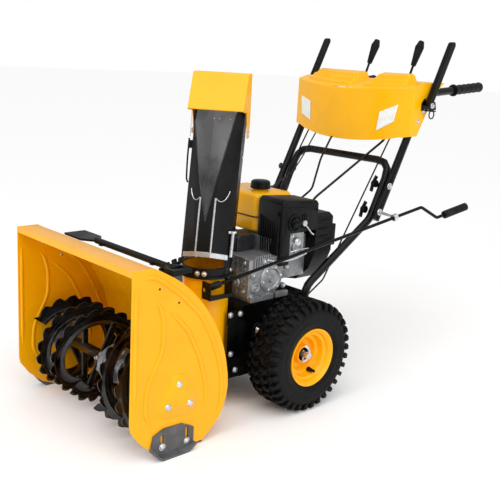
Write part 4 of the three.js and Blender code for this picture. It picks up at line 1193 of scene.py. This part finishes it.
def build_stage():
    scene = bpy.context.scene
    scene.view_settings.view_transform = "Standard"
    bm = bmesh.new()
    bmesh.ops.create_grid(bm, x_segments=1, y_segments=1, size=FLOOR_HALF)
    mesh = bpy.data.meshes.new("floor")
    bm.to_mesh(mesh)
    bm.free()
    # Matt pale studio paper: a faint tooth keeps it from looking like plastic.
    paper = colours().floor
    mesh.materials.append(finish("pale studio paper", paper, paper, (0.8, 0.9), 3, 0.05, patch=400))
    floor = bpy.data.objects.new("floor", mesh)
    scene.collection.objects.link(floor)

    world = bpy.data.worlds.new("studio")
    world.use_nodes = True
    tree = world.node_tree
    seen = add(tree, "ShaderNodeLightPath").outputs["Is Camera Ray"]
    strength = add(tree, "ShaderNodeMapRange",
                   {"Value": seen, "To Min": WORLD_LIT, "To Max": WORLD_SEEN})
    tree.links.new(strength.outputs[0], tree.nodes["Background"].inputs["Strength"])
    tree.nodes["Background"].inputs["Color"].default_value = (1, 1, 1, 1)
    scene.world = world
    for name, kind, place, size, power in LIGHTS:
        light = bpy.data.lights.new(name, kind)
        light.energy = power
        setattr(light, "angle" if kind == "SUN" else "size", size)
        lamp = bpy.data.objects.new(name, light)
        lamp.matrix_world = facing(Vector(place), Vector(place) - TARGET)
        scene.collection.objects.link(lamp)

    lens = bpy.data.cameras.new("camera")
    lens.sensor_width, lens.lens = CAMERA_SENSOR, CAMERA_LENS
    camera = bpy.data.objects.new("camera", lens)
    turn, dip, roll = CAMERA_TURN, CAMERA_DIP, CAMERA_ROLL
    back = Vector((math.sin(turn) * math.cos(dip), -math.cos(turn) * math.cos(dip), math.sin(dip)))
    right = Vector((math.cos(turn), math.sin(turn), 0))
    up = back.cross(right)
    rolled_right = right * math.cos(roll) + up * math.sin(roll)
    rolled_up = -right * math.sin(roll) + up * math.cos(roll)
    pose = Matrix((rolled_right, rolled_up, back)).transposed().to_4x4()
    camera.matrix_world = Matrix.Translation(CAMERA_AT) @ pose
    scene.collection.objects.link(camera)
    scene.camera = camera


# ---- add-on --------------------------------------------------------------------------------------
class SNOWBLOWER_OT_stage(bpy.types.Operator):
    """Adds the floor, the lights and the camera"""

    bl_idname = "snowblower.stage"
    bl_label = "Studio"

    def execute(self, context):
        build_stage()
        return {"FINISHED"}


class SNOWBLOWER_OT_housing(bpy.types.Operator):
    """Adds the plates, shell, drum and skids"""

    bl_idname = "snowblower.housing"
    bl_label = "Auger housing"

    def execute(self, context):
        build_housing()
        return {"FINISHED"}


class SNOWBLOWER_OT_augers(bpy.types.Operator):
    """Adds the toothed ribbons, gearbox and impeller"""

    bl_idname = "snowblower.augers"
    bl_label = "Augers"

    def execute(self, context):
        build_augers()
        return {"FINISHED"}


class SNOWBLOWER_OT_wheels(bpy.types.Operator):
    """Adds the tyres, rims, pins and valves"""

    bl_idname = "snowblower.wheels"
    bl_label = "Wheels"

    def execute(self, context):
        build_wheels()
        return {"FINISHED"}


class SNOWBLOWER_OT_chute(bpy.types.Operator):
    """Adds the chute, its ring and the deflector"""

    bl_idname = "snowblower.chute"
    bl_label = "Chute"

    def execute(self, context):
        build_chute()
        return {"FINISHED"}


class SNOWBLOWER_OT_frame(bpy.types.Operator):
    """Adds the frame, the drive and the belts"""

    bl_idname = "snowblower.frame"
    bl_label = "Tractor frame"

    def execute(self, context):
        build_frame()
        return {"FINISHED"}


class SNOWBLOWER_OT_engine(bpy.types.Operator):
    """Adds the engine and its covers"""

    bl_idname = "snowblower.engine"
    bl_label = "Engine"

    def execute(self, context):
        build_engine()
        return {"FINISHED"}


class SNOWBLOWER_OT_handles(bpy.types.Operator):
    """Adds handles, panel, levers and rods"""

    bl_idname = "snowblower.handles"
    bl_label = "Handles and controls"

    def execute(self, context):
        build_handles()
        return {"FINISHED"}


STEPS = (SNOWBLOWER_OT_stage, SNOWBLOWER_OT_housing, SNOWBLOWER_OT_augers, SNOWBLOWER_OT_wheels,
         SNOWBLOWER_OT_chute, SNOWBLOWER_OT_frame, SNOWBLOWER_OT_engine, SNOWBLOWER_OT_handles)


class SNOWBLOWER_PT_parts(bpy.types.Panel):
    """Lists the build steps and the settings"""

    bl_label = "Snowblower"
    bl_space_type = "VIEW_3D"
    bl_region_type = "UI"
    bl_category = "Snowblower"

    def draw(self, context):
        for group in (context.scene.snowblower_colours, context.scene.snowblower_sizes):
            for name in group.__annotations__:
                self.layout.prop(group, name)
        for step in STEPS:
            self.layout.operator(step.bl_idname)


CLASSES = (SnowblowerColours, SnowblowerSizes, *STEPS, SNOWBLOWER_PT_parts)


def register():
    for kind in CLASSES:
        bpy.utils.register_class(kind)
    bpy.types.Scene.snowblower_colours = PointerProperty(type=SnowblowerColours)
    bpy.types.Scene.snowblower_sizes = PointerProperty(type=SnowblowerSizes)


def unregister():
    del bpy.types.Scene.snowblower_sizes
    del bpy.types.Scene.snowblower_colours
    for kind in reversed(CLASSES):
        bpy.utils.unregister_class(kind)


def main():
    register()
    for step in STEPS:
        getattr(bpy.ops.snowblower, step.bl_idname.split(".")[1])()


if __name__ == "__main__":
    main()
